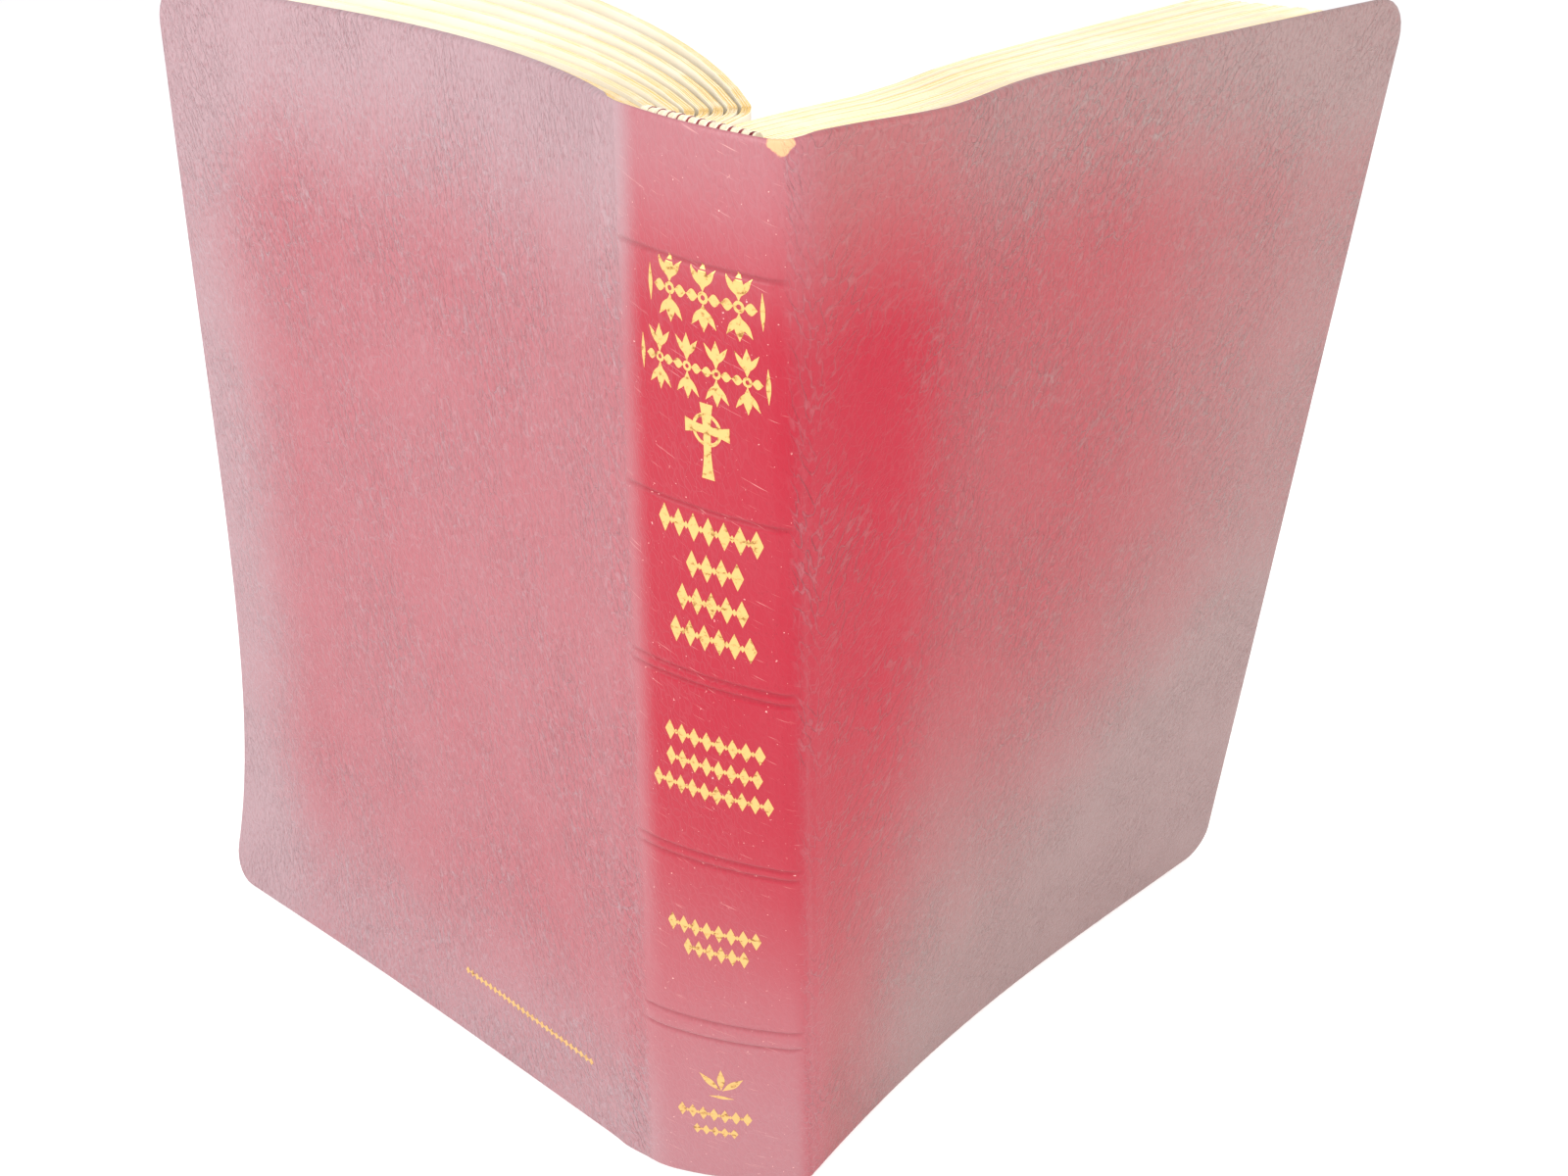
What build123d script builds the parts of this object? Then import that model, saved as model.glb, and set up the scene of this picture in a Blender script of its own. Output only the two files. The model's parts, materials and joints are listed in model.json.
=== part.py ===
"""A leather-bound bible standing open on its tail.

Millimetres, +Z up from the tail to the head. +X runs along the open spread and the spine faces -Y.
The origin is under the middle of the open book, on the surface it stands on.

Every piece is drawn in flat sections at two heights and lofted between them. In a section of the
spine, +x runs from the back joint to the front joint, +y points into the book, and (0, 0) is the
middle of the spine. The spine is twisted, so the two joint lines lean by the same amount: towards
the head, the back joint leans into the book and the front joint leans out of it.
A side is +1 for the back half of the book and -1 for the front half.
"""

import os
from math import atan, cos, degrees, hypot, radians, sin

from build123d import *

# Driving dimensions
cover_height = 240.0  # head to tail
cover_reach = 164.5  # joint line to fore-edge
leaf_reach = 160.5  # joint line to the leaves' fore-edge in the closed book
leaf_inset = 3.0  # the leaves stop short of the covers at head and tail
cover_corner = 9.0
leaf_corner = 6.0

leather_thickness = 1.0
spine_leather_thickness = 1.2
spine_bulge = 1.5  # how far the spine leather rounds outwards between its joints
card_thickness = 0.8
turn_in_thickness = 0.4
turn_in_width = 13.0
leather_edge = 1.2  # leather wrapped around the card's edges
pastedown_thickness = 0.3
pastedown_inset = 4.0
flyleaf_thickness = 0.22

groups = 8  # groups of leaves on each half, the outermost first
group_pitch = 1.85  # from one group to the next along the spine
group_thickness = 1.45
first_root_lift = 5.0  # the outermost group's hinge above the spine
outer_fan_ratio = 0.975  # turn of the outermost group for one turn of its cover
inner_fan_ratio = 0.72
flat_opening = 90.0  # a cover's turn from the closed book to lying flat
running_gap = 0.35

# The standing pose
spine_middle = (-1.66, -68.42)  # middle of the spine in plan
spine_heading = -27.0  # from +X to the line along the spine at mid height
joint_lean = 0.045  # sideways lean of the joint lines for each millimetre of height
opening = {1: 73.8, -1: 21.5}  # each cover's turn from the closed book

# Worked out from the above
half_name = {1: "back", -1: "front"}
middle_height = cover_height / 2
card_low = leather_thickness / 2
card_high = card_low + card_thickness
turn_in_high = card_high + turn_in_thickness
inner_face = turn_in_high + pastedown_thickness
first_group = inner_face + running_gap + flyleaf_thickness + group_thickness / 2
half_spine = first_group + (groups - 0.5) * group_pitch
group_offsets = [half_spine - first_group - number * group_pitch for number in range(groups)]
leaf_heights = (leaf_inset, cover_height - leaf_inset)
fan_step = (outer_fan_ratio - inner_fan_ratio) / (groups - 1)
fan_ratios = [outer_fan_ratio - number * fan_step for number in range(groups)]

# Each hinge is lifted just enough for its group to lie over the one outside it in the flat book
root_lifts = [first_root_lift]
for ratio in fan_ratios[1:]:
    turn = radians(ratio * flat_opening)
    rise = (group_thickness + running_gap - group_pitch * cos(turn)) / sin(turn)
    root_lifts.append(root_lifts[-1] + rise)

os.makedirs("parts", exist_ok=True)


def lean(side, height):
    """How far a half's hinge lines have moved into the book at a height."""
    return side * joint_lean * (height - middle_height)


def spine_plane(height, turn=0.0):
    """The spine's section plane, whose +x may turn to follow the twisted spine."""
    heading = radians(spine_heading + turn)
    return Plane(origin=(*spine_middle, height), x_dir=(cos(heading), sin(heading), 0))


def chord_plane(height):
    """A section plane whose +x runs from the back joint line to the front joint line."""
    twist = -degrees(atan(lean(1, height) / half_spine))
    return spine_plane(height, turn=twist)


def leaf_plane(side, offset, lift, turn, height):
    """A section plane whose +x runs from a hinge line along a leaf that is opened by turn."""
    hinge = spine_plane(height).from_local_coords((-side * offset, lift + lean(side, height), 0))
    heading = radians(spine_heading + 90 + side * turn)
    return Plane(origin=hinge, x_dir=(cos(heading), sin(heading), 0))


def cover_plane(side, height):
    return leaf_plane(side, half_spine, 0, opening[side], height)


def group_plane(side, number, height):
    turn = fan_ratios[number] * opening[side]
    return leaf_plane(side, group_offsets[number], root_lifts[number], turn, height)


def corner_cutter(corner_planes, radius):
    """What is trimmed off to round a leaf's corners, given each corner's plane.

    A corner plane has its origin on the corner, +x back along the leaf and +y along the fore-edge.
    """
    outside = 3.0
    with BuildPart() as cutter:
        for plane in corner_planes:
            with BuildSketch(plane):
                with BuildLine():
                    CenterArc((radius, radius), radius, 180, 90)
                    Polyline(
                        (radius, 0),
                        (radius, -outside),
                        (-outside, -outside),
                        (-outside, radius),
                        (0, radius),
                    )
                make_face()
            extrude(amount=2 * group_thickness, both=True)
    return cutter


def corner_planes(section_planes, reach):
    """The corner planes of a leaf from its section planes at the tail and the head."""
    tail, head = section_planes
    return (
        Plane(origin=tail.from_local_coords((reach, 0, 0)), x_dir=-tail.x_dir, z_dir=tail.y_dir),
        Plane(origin=head.from_local_coords((reach, 0, 0)), x_dir=-head.x_dir, z_dir=-head.y_dir),
    )


def finish(piece, name):
    """Label a finished piece and write its file."""
    piece.part.label = name
    export_step(piece.part, f"parts/{name}.step")


def cover_slab(side, start, end, low, high, bottom, top, corner=0.0):
    """A slab of a cover, from start to end along it and low to high on its inner side."""
    planes = [cover_plane(side, height) for height in (bottom, top)]
    with BuildPart() as slab:
        with BuildSketch(planes[0]):
            with Locations(((start + end) / 2, -side * (low + high) / 2)):
                Rectangle(end - start, high - low)
        rise = planes[1].origin - planes[0].origin
        extrude(amount=rise.length, dir=rise)
        if corner:
            add(corner_cutter(corner_planes(planes, end), corner).part, mode=Mode.SUBTRACT)
    return slab


# ---------------------------------------------------------------- covers
card_start = 6.0  # where the card begins, clear of the joint's bend
leather_start = 1.05  # clear of the rounded end of the spine leather
pastedown_start = 5.0
window_end = cover_reach - turn_in_width
card_end = cover_reach - leather_edge
cover_edges = (0, cover_height)
card_edges = (leather_edge, cover_height - leather_edge)
window_edges = (turn_in_width, cover_height - turn_in_width)
pastedown_edges = (pastedown_inset, cover_height - pastedown_inset)

for side, half in half_name.items():
    # Card, with an infill as thick as the turn-ins in the window that they leave open
    card_plate = cover_slab(side, card_start, card_end, card_low, card_high, *card_edges, cover_corner - 1)
    infill_high = turn_in_high - 0.05
    infill = cover_slab(side, card_start, window_end, card_low + 0.1, infill_high, *window_edges)
    with BuildPart() as card:
        add(card_plate)
        add(infill)
    finish(card, f"{half}_cover_card")

    # Leather, wrapped around the card's edges and turned in over its inner face
    wrapped = cover_slab(
        side, card_start, cover_reach, -card_low, turn_in_high, *cover_edges, cover_corner
    )
    window = cover_slab(side, 0, window_end, card_high - 0.1, inner_face + 1, *window_edges)
    joint_strip = cover_slab(side, leather_start, card_start + 1, -card_low, card_low, *cover_edges)
    with BuildPart() as leather:
        add(wrapped)
        add(card_plate, mode=Mode.SUBTRACT)
        add(window, mode=Mode.SUBTRACT)
        add(joint_strip)
    finish(leather, f"{half}_cover_leather")

    pastedown = cover_slab(
        side,
        pastedown_start,
        cover_reach - pastedown_inset,
        turn_in_high,
        inner_face,
        *pastedown_edges,
        cover_corner - pastedown_inset,
    )
    finish(pastedown, f"{half}_pastedown")


# ---------------------------------------------------------------- leaves
for side, half in half_name.items():
    for number in range(groups):
        reach = leaf_reach - root_lifts[number]
        planes = [group_plane(side, number, height) for height in leaf_heights]
        corners = corner_cutter(corner_planes(planes, reach), leaf_corner)
        with BuildPart() as leaves:
            with BuildSketch(planes[0]):
                Circle(group_thickness / 2)
                with Locations((reach / 2, 0)):
                    Rectangle(reach, group_thickness)
            rise = planes[1].origin - planes[0].origin
            extrude(amount=rise.length, dir=rise)
            add(corners.part, mode=Mode.SUBTRACT)
        finish(leaves, f"{half}_leaves_{number + 1}")

    # The free endpaper lies on the outermost group
    reach = leaf_reach - root_lifts[0]
    depth = (group_thickness + flyleaf_thickness) / 2 + 0.01
    planes = [group_plane(side, 0, height) for height in leaf_heights]
    corners = corner_cutter(corner_planes(planes, reach), leaf_corner)
    with BuildPart() as flyleaf:
        with BuildSketch(planes[0]):
            with Locations((reach / 2, side * depth)):
                Rectangle(reach, flyleaf_thickness)
        rise = planes[1].origin - planes[0].origin
        extrude(amount=rise.length, dir=rise)
        add(corners.part, mode=Mode.SUBTRACT)
    finish(flyleaf, f"{half}_flyleaf")


# ---------------------------------------------------------------- spine
def half_chord(height):
    return hypot(half_spine, lean(1, height))


def rounding(x, height):
    """How far the spine leather's middle line lies outside the joint lines."""
    return -spine_bulge * (1 - (x / half_chord(height)) ** 2)


with BuildPart() as spine_leather:
    half_thickness = spine_leather_thickness / 2
    for height in cover_edges:
        end = half_chord(height)
        with BuildSketch(chord_plane(height)):
            with BuildLine():
                ThreePointArc(
                    (-end, -half_thickness), (0, -spine_bulge - half_thickness), (end, -half_thickness)
                )
                ThreePointArc((end, -half_thickness), (end + half_thickness, 0), (end, half_thickness))
                ThreePointArc(
                    (end, half_thickness), (0, half_thickness - spine_bulge), (-end, half_thickness)
                )
                ThreePointArc((-end, half_thickness), (-end - half_thickness, 0), (-end, -half_thickness))
            make_face()
    loft(ruled=True)
finish(spine_leather, "spine_leather")

# The stiffener follows the rounded leather; the linings lie flat on the back of the leaves
lining_margin = 3.0
stiffener_low, stiffener_high = 0.65, 1.0
with BuildPart() as spine_stiffener:
    for height in (leather_edge, cover_height - leather_edge):
        end = half_chord(height) - lining_margin
        shift = rounding(end, height)
        with BuildSketch(chord_plane(height)):
            with BuildLine():
                low_arc = ThreePointArc(
                    (-end, stiffener_low + shift),
                    (0, stiffener_low - spine_bulge),
                    (end, stiffener_low + shift),
                )
                high_arc = ThreePointArc(
                    (end, stiffener_high + shift),
                    (0, stiffener_high - spine_bulge),
                    (-end, stiffener_high + shift),
                )
                Line(low_arc @ 1, high_arc @ 0)
                Line(high_arc @ 1, low_arc @ 0)
            make_face()
    loft(ruled=True)
finish(spine_stiffener, "spine_stiffener")

linings = {"kraft_lining": (1.08, 1.38), "mull_cloth": (1.42, 1.9)}
for name, (low, high) in linings.items():
    with BuildPart() as lining:
        for height in leaf_heights:
            width = 2 * (half_chord(height) - lining_margin)
            with BuildSketch(chord_plane(height)):
                with Locations((0, (low + high) / 2)):
                    Rectangle(width, high - low)
        loft(ruled=True)
    finish(lining, name)

# The sewn folds of the sections step up towards the middle of the book, one step under each group
fold_base = 1.95
fold_gap = 0.05
root_clearance = group_thickness / 2 + running_gap
outer_limit = half_spine - inner_face - running_gap - 0.3


def fold_outline(side, number, height):
    """Corners of one group's folds, from the spine lining up to the step under the group."""
    slope = lean(side, height) / half_spine
    base = fold_base * hypot(1, slope)
    level = root_lifts[number] - root_clearance + lean(side, height)
    outer = group_offsets[number] + group_pitch - root_clearance if number else outer_limit
    inner = group_offsets[number] - root_clearance if number < groups - 1 else 0
    outer, inner = outer - fold_gap, inner + fold_gap
    corners = [
        (inner, base + slope * inner),
        (outer, base + slope * outer),
        (outer, level),
        (inner, level),
    ]
    return [(-side * offset, rise) for offset, rise in corners]


for side, half in half_name.items():
    with BuildPart() as folds:
        for number in range(groups):
            for height in leaf_heights:
                with BuildSketch(spine_plane(height)):
                    with BuildLine():
                        Polyline(*fold_outline(side, number, height), close=True)
                    make_face()
            loft(ruled=True)
    finish(folds, f"{half}_sewn_folds")

# Headband and tailband, beads that cap the back of the leaves
band_radius = 1.1
band_half_length = 12.5
band_depth = 2.8
for name, height in {
    "headband": cover_height - band_radius - 0.45,
    "tailband": band_radius + 0.45,
}.items():
    chord = chord_plane(height)
    start = chord.from_local_coords((-band_half_length, band_depth, 0))
    with BuildPart() as band:
        with BuildSketch(Plane(origin=start, z_dir=chord.x_dir)):
            Circle(band_radius)
        extrude(amount=2 * band_half_length)
    finish(band, name)

# Sewing thread: stitches along the innermost step of the half that lies lower in the gutter
thread_radius = 0.15
stitch_length = 26.0
stitch_pitch = 36.0
stitches_each = 3
thread_offset = 0.2
with BuildPart() as sewing_thread:
    for side in half_name:
        for number in range(stitches_each):
            distance = 10 + number * stitch_pitch
            ends = []
            for height in (
                middle_height - side * distance,
                middle_height - side * (distance + stitch_length),
            ):
                level = root_lifts[-1] - root_clearance + thread_radius + lean(side, height)
                ends.append(spine_plane(height).from_local_coords((-side * thread_offset, level, 0)))
            run = ends[1] - ends[0]
            with BuildSketch(Plane(origin=ends[0], z_dir=run)):
                Circle(thread_radius)
            extrude(amount=run.length)
finish(sewing_thread, "sewing_thread")
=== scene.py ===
"""The looks of a leather-bound bible that stands open on its tail, laid out as an add-on.

Metres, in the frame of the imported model: +Z from tail to head, +X along the open spread, and the
spine faces -Y. A side is +1 for the back half of the book and -1 for the front half. Along the
skin of the binding, across is the distance from the middle of the spine, positive towards the
front cover, and up is the height above the tail.
"""
import json
import math
import random

import bmesh
import bpy
import numpy as np
from bpy.props import (
    FloatProperty, FloatVectorProperty, IntProperty, PointerProperty,
)
from mathutils import Matrix, Vector


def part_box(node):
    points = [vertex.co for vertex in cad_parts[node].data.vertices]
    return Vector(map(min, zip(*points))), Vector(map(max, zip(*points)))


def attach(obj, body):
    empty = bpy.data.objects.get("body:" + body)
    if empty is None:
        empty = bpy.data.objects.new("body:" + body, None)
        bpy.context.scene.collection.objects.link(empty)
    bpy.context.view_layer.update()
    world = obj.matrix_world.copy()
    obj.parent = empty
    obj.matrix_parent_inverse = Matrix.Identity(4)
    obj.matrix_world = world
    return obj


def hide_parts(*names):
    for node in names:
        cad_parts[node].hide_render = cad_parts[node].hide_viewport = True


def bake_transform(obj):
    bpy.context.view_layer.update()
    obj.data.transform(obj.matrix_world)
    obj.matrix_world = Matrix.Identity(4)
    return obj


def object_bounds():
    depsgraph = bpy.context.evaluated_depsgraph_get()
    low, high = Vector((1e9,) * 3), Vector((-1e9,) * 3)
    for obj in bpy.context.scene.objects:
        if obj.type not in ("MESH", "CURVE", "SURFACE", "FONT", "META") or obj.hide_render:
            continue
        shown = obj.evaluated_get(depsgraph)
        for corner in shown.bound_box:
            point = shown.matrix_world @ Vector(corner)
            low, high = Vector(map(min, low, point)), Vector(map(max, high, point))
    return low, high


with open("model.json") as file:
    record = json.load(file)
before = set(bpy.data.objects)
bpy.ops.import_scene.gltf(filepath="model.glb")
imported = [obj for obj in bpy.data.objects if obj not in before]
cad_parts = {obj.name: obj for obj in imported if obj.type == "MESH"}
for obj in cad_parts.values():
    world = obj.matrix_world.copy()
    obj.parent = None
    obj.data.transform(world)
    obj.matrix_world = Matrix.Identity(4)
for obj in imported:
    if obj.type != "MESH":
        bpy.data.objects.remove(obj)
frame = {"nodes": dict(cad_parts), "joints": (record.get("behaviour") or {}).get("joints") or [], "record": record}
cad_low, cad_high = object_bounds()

bl_info = {
    "name": "Leather Bible",
    "version": (1, 0, 0),
    "blender": (4, 5, 0),
    "location": "View3D > Sidebar > Bible",
    "description": "Builds the leather, leaves, gold tooling and stage of an open bible",
    "category": "Object",
}

MM = 0.001
HALVES = {1: "back", -1: "front"}


def linear(hex_colour):
    """An sRGB hex colour as linear red, green and blue."""
    channels = [int(hex_colour[at:at + 2], 16) / 255 for at in (1, 3, 5)]
    return tuple(c / 12.92 if c <= 0.04045 else ((c + 0.055) / 1.055) ** 2.4 for c in channels)


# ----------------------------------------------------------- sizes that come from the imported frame
joints = {joint["name"]: joint for joint in frame["joints"]}
fan_ratios = {
    coupling["joint"]: coupling["ratio"] for coupling in frame["record"]["behaviour"]["couplings"]
}
group_count = sum(name.startswith("back_leaves_") for name in frame["nodes"])
cover_height = cad_high.z - cad_low.z
middle_height = cad_low.z + cover_height / 2


def plan_direction(heading):
    return np.stack([np.cos(heading), np.sin(heading)], -1)


def hinge_line(joint, height):
    """Where a joint's axis stands in plan, at each of an array of heights."""
    position, axis = joints[joint]["pos_m"], joints[joint]["axis"]
    climb = (np.asarray(height, float) - position[2]) / axis[2]
    return np.stack([position[0] + axis[0] * climb, position[1] + axis[1] * climb], -1)


back_joint = hinge_line("back_cover_hinge", middle_height)
front_joint = hinge_line("front_cover_hinge", middle_height)
half_spine = float(np.linalg.norm(front_joint - back_joint)) / 2
spine_middle = (back_joint + front_joint) / 2
spine_across = (front_joint - back_joint) / (2 * half_spine)
into_book = np.array([-spine_across[1], spine_across[0]])
into_heading = math.atan2(into_book[1], into_book[0])
cover_opening = {
    1: -math.radians(joints["back_cover_hinge"]["range_deg"][0]),
    -1: math.radians(joints["front_cover_hinge"]["range_deg"][1]),
}


def reach_past(node, joint):
    """How far a cover or leaf reaches from its hinge line."""
    vertices = frame["nodes"][node].data.vertices
    points = np.array([v.co for v in vertices], float)
    return float(np.linalg.norm(points[:, :2] - hinge_line(joint, points[:, 2]), axis=1).max())


cover_reach = reach_past("back_cover_leather", "back_cover_hinge")


# ---------------------------------------------------------------------------------------- settings
def colour_setting(name, hex_colour, description):
    return FloatVectorProperty(
        name=name, description=description, subtype="COLOR", size=3, min=0, max=1,
        default=linear(hex_colour),
    )


def length_setting(name, millimetres, description):
    return FloatProperty(
        name=name, description=description, unit="LENGTH", subtype="DISTANCE", min=0,
        precision=5, default=millimetres * MM,
    )


def angle_setting(name, degrees, description):
    return FloatProperty(
        name=name, description=description, unit="ROTATION", subtype="ANGLE",
        default=math.radians(degrees),
    )


class CoverSettings(bpy.types.PropertyGroup):
    leather: colour_setting("Leather", "#950a25", "Dyed bonded leather")
    leather_deep: colour_setting("Leather in the grain", "#6d0c1c", "Dye pooled in the grain")
    # Back and front painted sheen: pale colours that paint the haze of reflected light into the leather's colour
    back_painted_sheen: colour_setting("Back bloom", "#967b80", "Painted sheen of the back cover and spine")
    front_painted_sheen: colour_setting("Front bloom", "#87706e", "Painted sheen of the front cover")
    leather_bare: colour_setting("Worn leather", "#c89a72", "Undyed fibre at the joint's head")
    skin: length_setting("Skin", 0.5, "Joint plane to the outer face of the leather")
    board: length_setting("Board", 1.7, "Joint plane to the inner face of a cover")
    corner: length_setting("Corner radius", 9, "Rounding of a cover's corners")
    spine_round: length_setting("Spine round", 1.5, "How far the spine rounds outwards")
    back_bend: length_setting("Back joint bend", 6, "Half the width of the back joint's bend")
    front_bend: length_setting("Front joint bend", 3.2, "Half the width of the front joint's bend")
    twist: angle_setting("Twist", -3.2, "Turn of covers and leaves at the head")
    tooling: length_setting("Tooling", 0.4, "Depth of the lines pressed across the spine")
    grain: length_setting("Grain", 1.15, "Width of one pebble of the grain")


class LeafSettings(bpy.types.PropertyGroup):
    sheets: IntProperty(name="Sheets", description="Sheets in each group", default=10, min=2)
    paper: length_setting("Paper", 0.11, "Thickness of a sheet")
    corner: length_setting("Leaf corner radius", 6, "Rounding of the leaves' corners")
    bend: length_setting("Leaf bend", 4, "Half the length over which a leaf bends out of the fold")
    paper_colour: colour_setting("Paper colour", "#e9e1cf", "Thin opaque bible paper")
    ink: colour_setting("Ink", "#6b655c", "Printing, drawn as plain lines")
    gilt: colour_setting("Gilt edge", "#e0b75a", "Gold on the leaves' edges")
    line_pitch: length_setting("Line pitch", 4.4, "From one line of the page to the next")


class ToolingSettings(bpy.types.PropertyGroup):
    foil: length_setting("Foil", 0.035, "How far the gold stands proud of the leather")
    gold: colour_setting("Gold foil", "#cba665", "Gold foil pressed into the leather")
    gold_rubbed: colour_setting("Rubbed gold", "#8a6028", "Foil where the leather shows through")


class BandSettings(bpy.types.PropertyGroup):
    stitch_pitch: length_setting("Stitch pitch", 1.1, "From one stitch of a band to the next")
    stitch: length_setting("Stitch", 1.5, "Length of a stitch over the band")
    light: colour_setting("Light silk", "#eadfc6", "The pale stitches of the bands")
    dark: colour_setting("Dark silk", "#7c1f2a", "The red stitches of the bands")


class StageSettings(bpy.types.PropertyGroup):
    floor: colour_setting("Floor", "#fbfafa", "Plain pale floor")
    floor_size: length_setting("Floor size", 6000, "Side of the floor")
    lens: FloatProperty(name="Lens", description="Focal length in mm", default=34.72, min=1)


SETTING_GROUPS = {
    "bible_cover": CoverSettings,
    "bible_leaves": LeafSettings,
    "bible_tooling": ToolingSettings,
    "bible_bands": BandSettings,
    "bible_stage": StageSettings,
}


# -------------------------------------------------------------------------------------- node trees
def add(tree, kind, inputs=(), **settings):
    """Add a node with its settings; a mapping names its inputs, and a list gives them in order.

    An input is given a value, a socket to be linked from, or a node whose first output is linked.
    """
    node = tree.nodes.new(kind)
    for name, value in settings.items():
        setattr(node, name, value)
    given = inputs if isinstance(inputs, dict) else dict(enumerate(inputs))
    for socket, value in given.items():
        if isinstance(value, bpy.types.Node):
            value = value.outputs[0]
        if isinstance(value, bpy.types.NodeSocket):
            tree.links.new(value, node.inputs[socket])
        else:
            node.inputs[socket].default_value = value
    return node


def new_finish(name):
    """An empty material and its node tree, ready for a shader and an output."""
    material = bpy.data.materials.new(name)
    material.use_nodes = True
    material.node_tree.nodes.clear()
    return material, material.node_tree


def alpha(colour):
    return (*colour, 1.0)


SMOOTH = {"interpolation_type": "SMOOTHSTEP"}  # a Map Range that eases in and out
COLOURS = {"data_type": "RGBA"}  # a Mix of two colours, on sockets 6 and 7, that comes out on 2


def mottle(tree, coordinates, turn, sizes, detail=2.0, roughness=0.5):
    """A cloudy pattern, turned by degrees, whose patches have these sizes in metres."""
    laid = add(
        tree, "ShaderNodeMapping",
        {"Vector": coordinates, "Rotation": (0, 0, math.radians(turn)),
         "Scale": (sizes[0], sizes[1], sizes[-1])}, vector_type="TEXTURE",
    )
    return add(
        tree, "ShaderNodeTexNoise",
        {"Vector": laid, "Scale": 1.0, "Detail": detail, "Roughness": roughness},
    )


def near(tree, across, up, centre, radius):
    """1 at a place on the hide, falling to 0 at a distance across and up from it."""
    sideways = add(
        tree, "ShaderNodeMath",
        [add(tree, "ShaderNodeMath", [across, centre[0]], operation="SUBTRACT"), radius[0]],
        operation="DIVIDE",
    )
    upwards = add(
        tree, "ShaderNodeMath",
        [add(tree, "ShaderNodeMath", [up, centre[1]], operation="SUBTRACT"), radius[1]],
        operation="DIVIDE",
    )
    distance = add(
        tree, "ShaderNodeMath",
        [
            add(tree, "ShaderNodeMath", [sideways, sideways], operation="MULTIPLY"),
            add(tree, "ShaderNodeMath", [upwards, upwards], operation="MULTIPLY"),
        ],
        operation="ADD",
    )
    return add(tree, "ShaderNodeMapRange", [distance, 0.0, 1.0, 1.0, 0.0], **SMOOTH)


# ---------------------------------------------------------------------------------------- finishes
def bonded_leather(cover):
    """Bonded leather, embossed and dyed: a broad soft sheen, partly painted into its colour, over a fine pebbled
    grain.
    """
    material, tree = new_finish("bonded leather, embossed")
    hide = add(tree, "ShaderNodeUVMap", uv_map="hide").outputs["UV"]
    place = add(tree, "ShaderNodeSeparateXYZ", {"Vector": hide})
    across, up = place.outputs["X"], place.outputs["Y"]
    on_spine = add(
        tree, "ShaderNodeMapRange",
        [
            add(tree, "ShaderNodeMath", [across], operation="ABSOLUTE"), half_spine - 1 * MM,
            half_spine + 2 * MM, 1, 0,
        ],
        **SMOOTH,
    )
    on_front = add(
        tree, "ShaderNodeMapRange", [across, half_spine, half_spine + 12 * MM], **SMOOTH
    )
    on_back = add(
        tree, "ShaderNodeMapRange", [across, -half_spine - 12 * MM, -half_spine, 1, 0], **SMOOTH
    )

    # Pebbles drawn out up the cover, parted by crisp valleys that wander
    wander = mottle(tree, hide, 0, (2.4 * MM, 3.2 * MM), 1.0).outputs["Color"]
    wander = add(
        tree, "ShaderNodeVectorMath", {0: wander, 1: (0.5, 0.5, 0.5)}, operation="SUBTRACT"
    ).outputs[0]
    wander = add(
        tree, "ShaderNodeVectorMath", {0: wander, "Scale": 2.2 * MM}, operation="SCALE"
    ).outputs[0]
    wandering = add(tree, "ShaderNodeVectorMath", {0: hide, 1: wander}, operation="ADD").outputs[0]
    cells = []
    for turn, long in ((17, 2.6), (-28, 1.9)):
        laid = add(
            tree, "ShaderNodeMapping",
            {"Vector": wandering, "Rotation": (0, 0, math.radians(turn)),
             "Scale": (cover.grain, cover.grain * long, cover.grain * long)}, vector_type="TEXTURE",
        )
        cells.append(add(
            tree, "ShaderNodeTexVoronoi", {"Vector": laid, "Scale": 1.0, "Randomness": 1.0},
            feature="DISTANCE_TO_EDGE",
        ))
    pebble = add(
        tree, "ShaderNodeMix", {0: on_front, 2: cells[0], 3: cells[1]}, data_type="FLOAT"
    ).outputs[0]
    pebbles = add(tree, "ShaderNodeMapRange", [pebble, 0.0, 0.11], **SMOOTH)
    pore_places = add(
        tree, "ShaderNodeMapping", {"Vector": hide, "Scale": (0.95 * MM, 1.1 * MM, 1.1 * MM)},
        vector_type="TEXTURE",
    )
    pore = add(tree, "ShaderNodeTexVoronoi", {"Vector": pore_places, "Scale": 1.0}, feature="F1")
    pores = add(
        tree, "ShaderNodeMath",
        [
            add(tree, "ShaderNodeMapRange", [pore, 0.08, 0.24, 1.0, 0.0], **SMOOTH),
            near(tree, across, up, (half_spine + 16 * MM, 150 * MM), (40 * MM, 120 * MM)),
        ],
        operation="MULTIPLY",
    )
    fine = mottle(tree, hide, 8, (cover.grain * 0.5, cover.grain * 1.1), 3.0, 0.6)
    # Long wrinkles that slant down towards the spine on the back cover, and across the front cover
    patches = add(
        tree, "ShaderNodeMapRange", [mottle(tree, hide, 0, (26 * MM, 30 * MM), 1.0), 0.25, 0.68],
        **SMOOTH,
    )
    back_fold = mottle(tree, hide, 24, (2.1 * MM, 8.5 * MM), 1.5, 0.5)
    front_fold = mottle(tree, hide, -38, (2.4 * MM, 7 * MM), 1.5, 0.5)
    fold = add(
        tree, "ShaderNodeMix", {0: on_front, 2: back_fold, 3: front_fold}, data_type="FLOAT"
    ).outputs[0]
    crease = add(
        tree, "ShaderNodeMapRange",
        [
            add(
                tree, "ShaderNodeMath",
                [add(tree, "ShaderNodeMath", [fold, 0.5], operation="SUBTRACT")],
                operation="ABSOLUTE",
            ),
            0.0, 0.030,
        ],
        **SMOOTH,
    )
    wrinkled = add(
        tree, "ShaderNodeMath",
        [
            add(tree, "ShaderNodeMath", [1.0, crease], operation="SUBTRACT"),
            add(
                tree, "ShaderNodeMath",
                [patches, add(tree, "ShaderNodeMath", [1.0, on_spine], operation="SUBTRACT")],
                operation="MULTIPLY",
            ),
        ],
        operation="MULTIPLY",
    )
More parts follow.
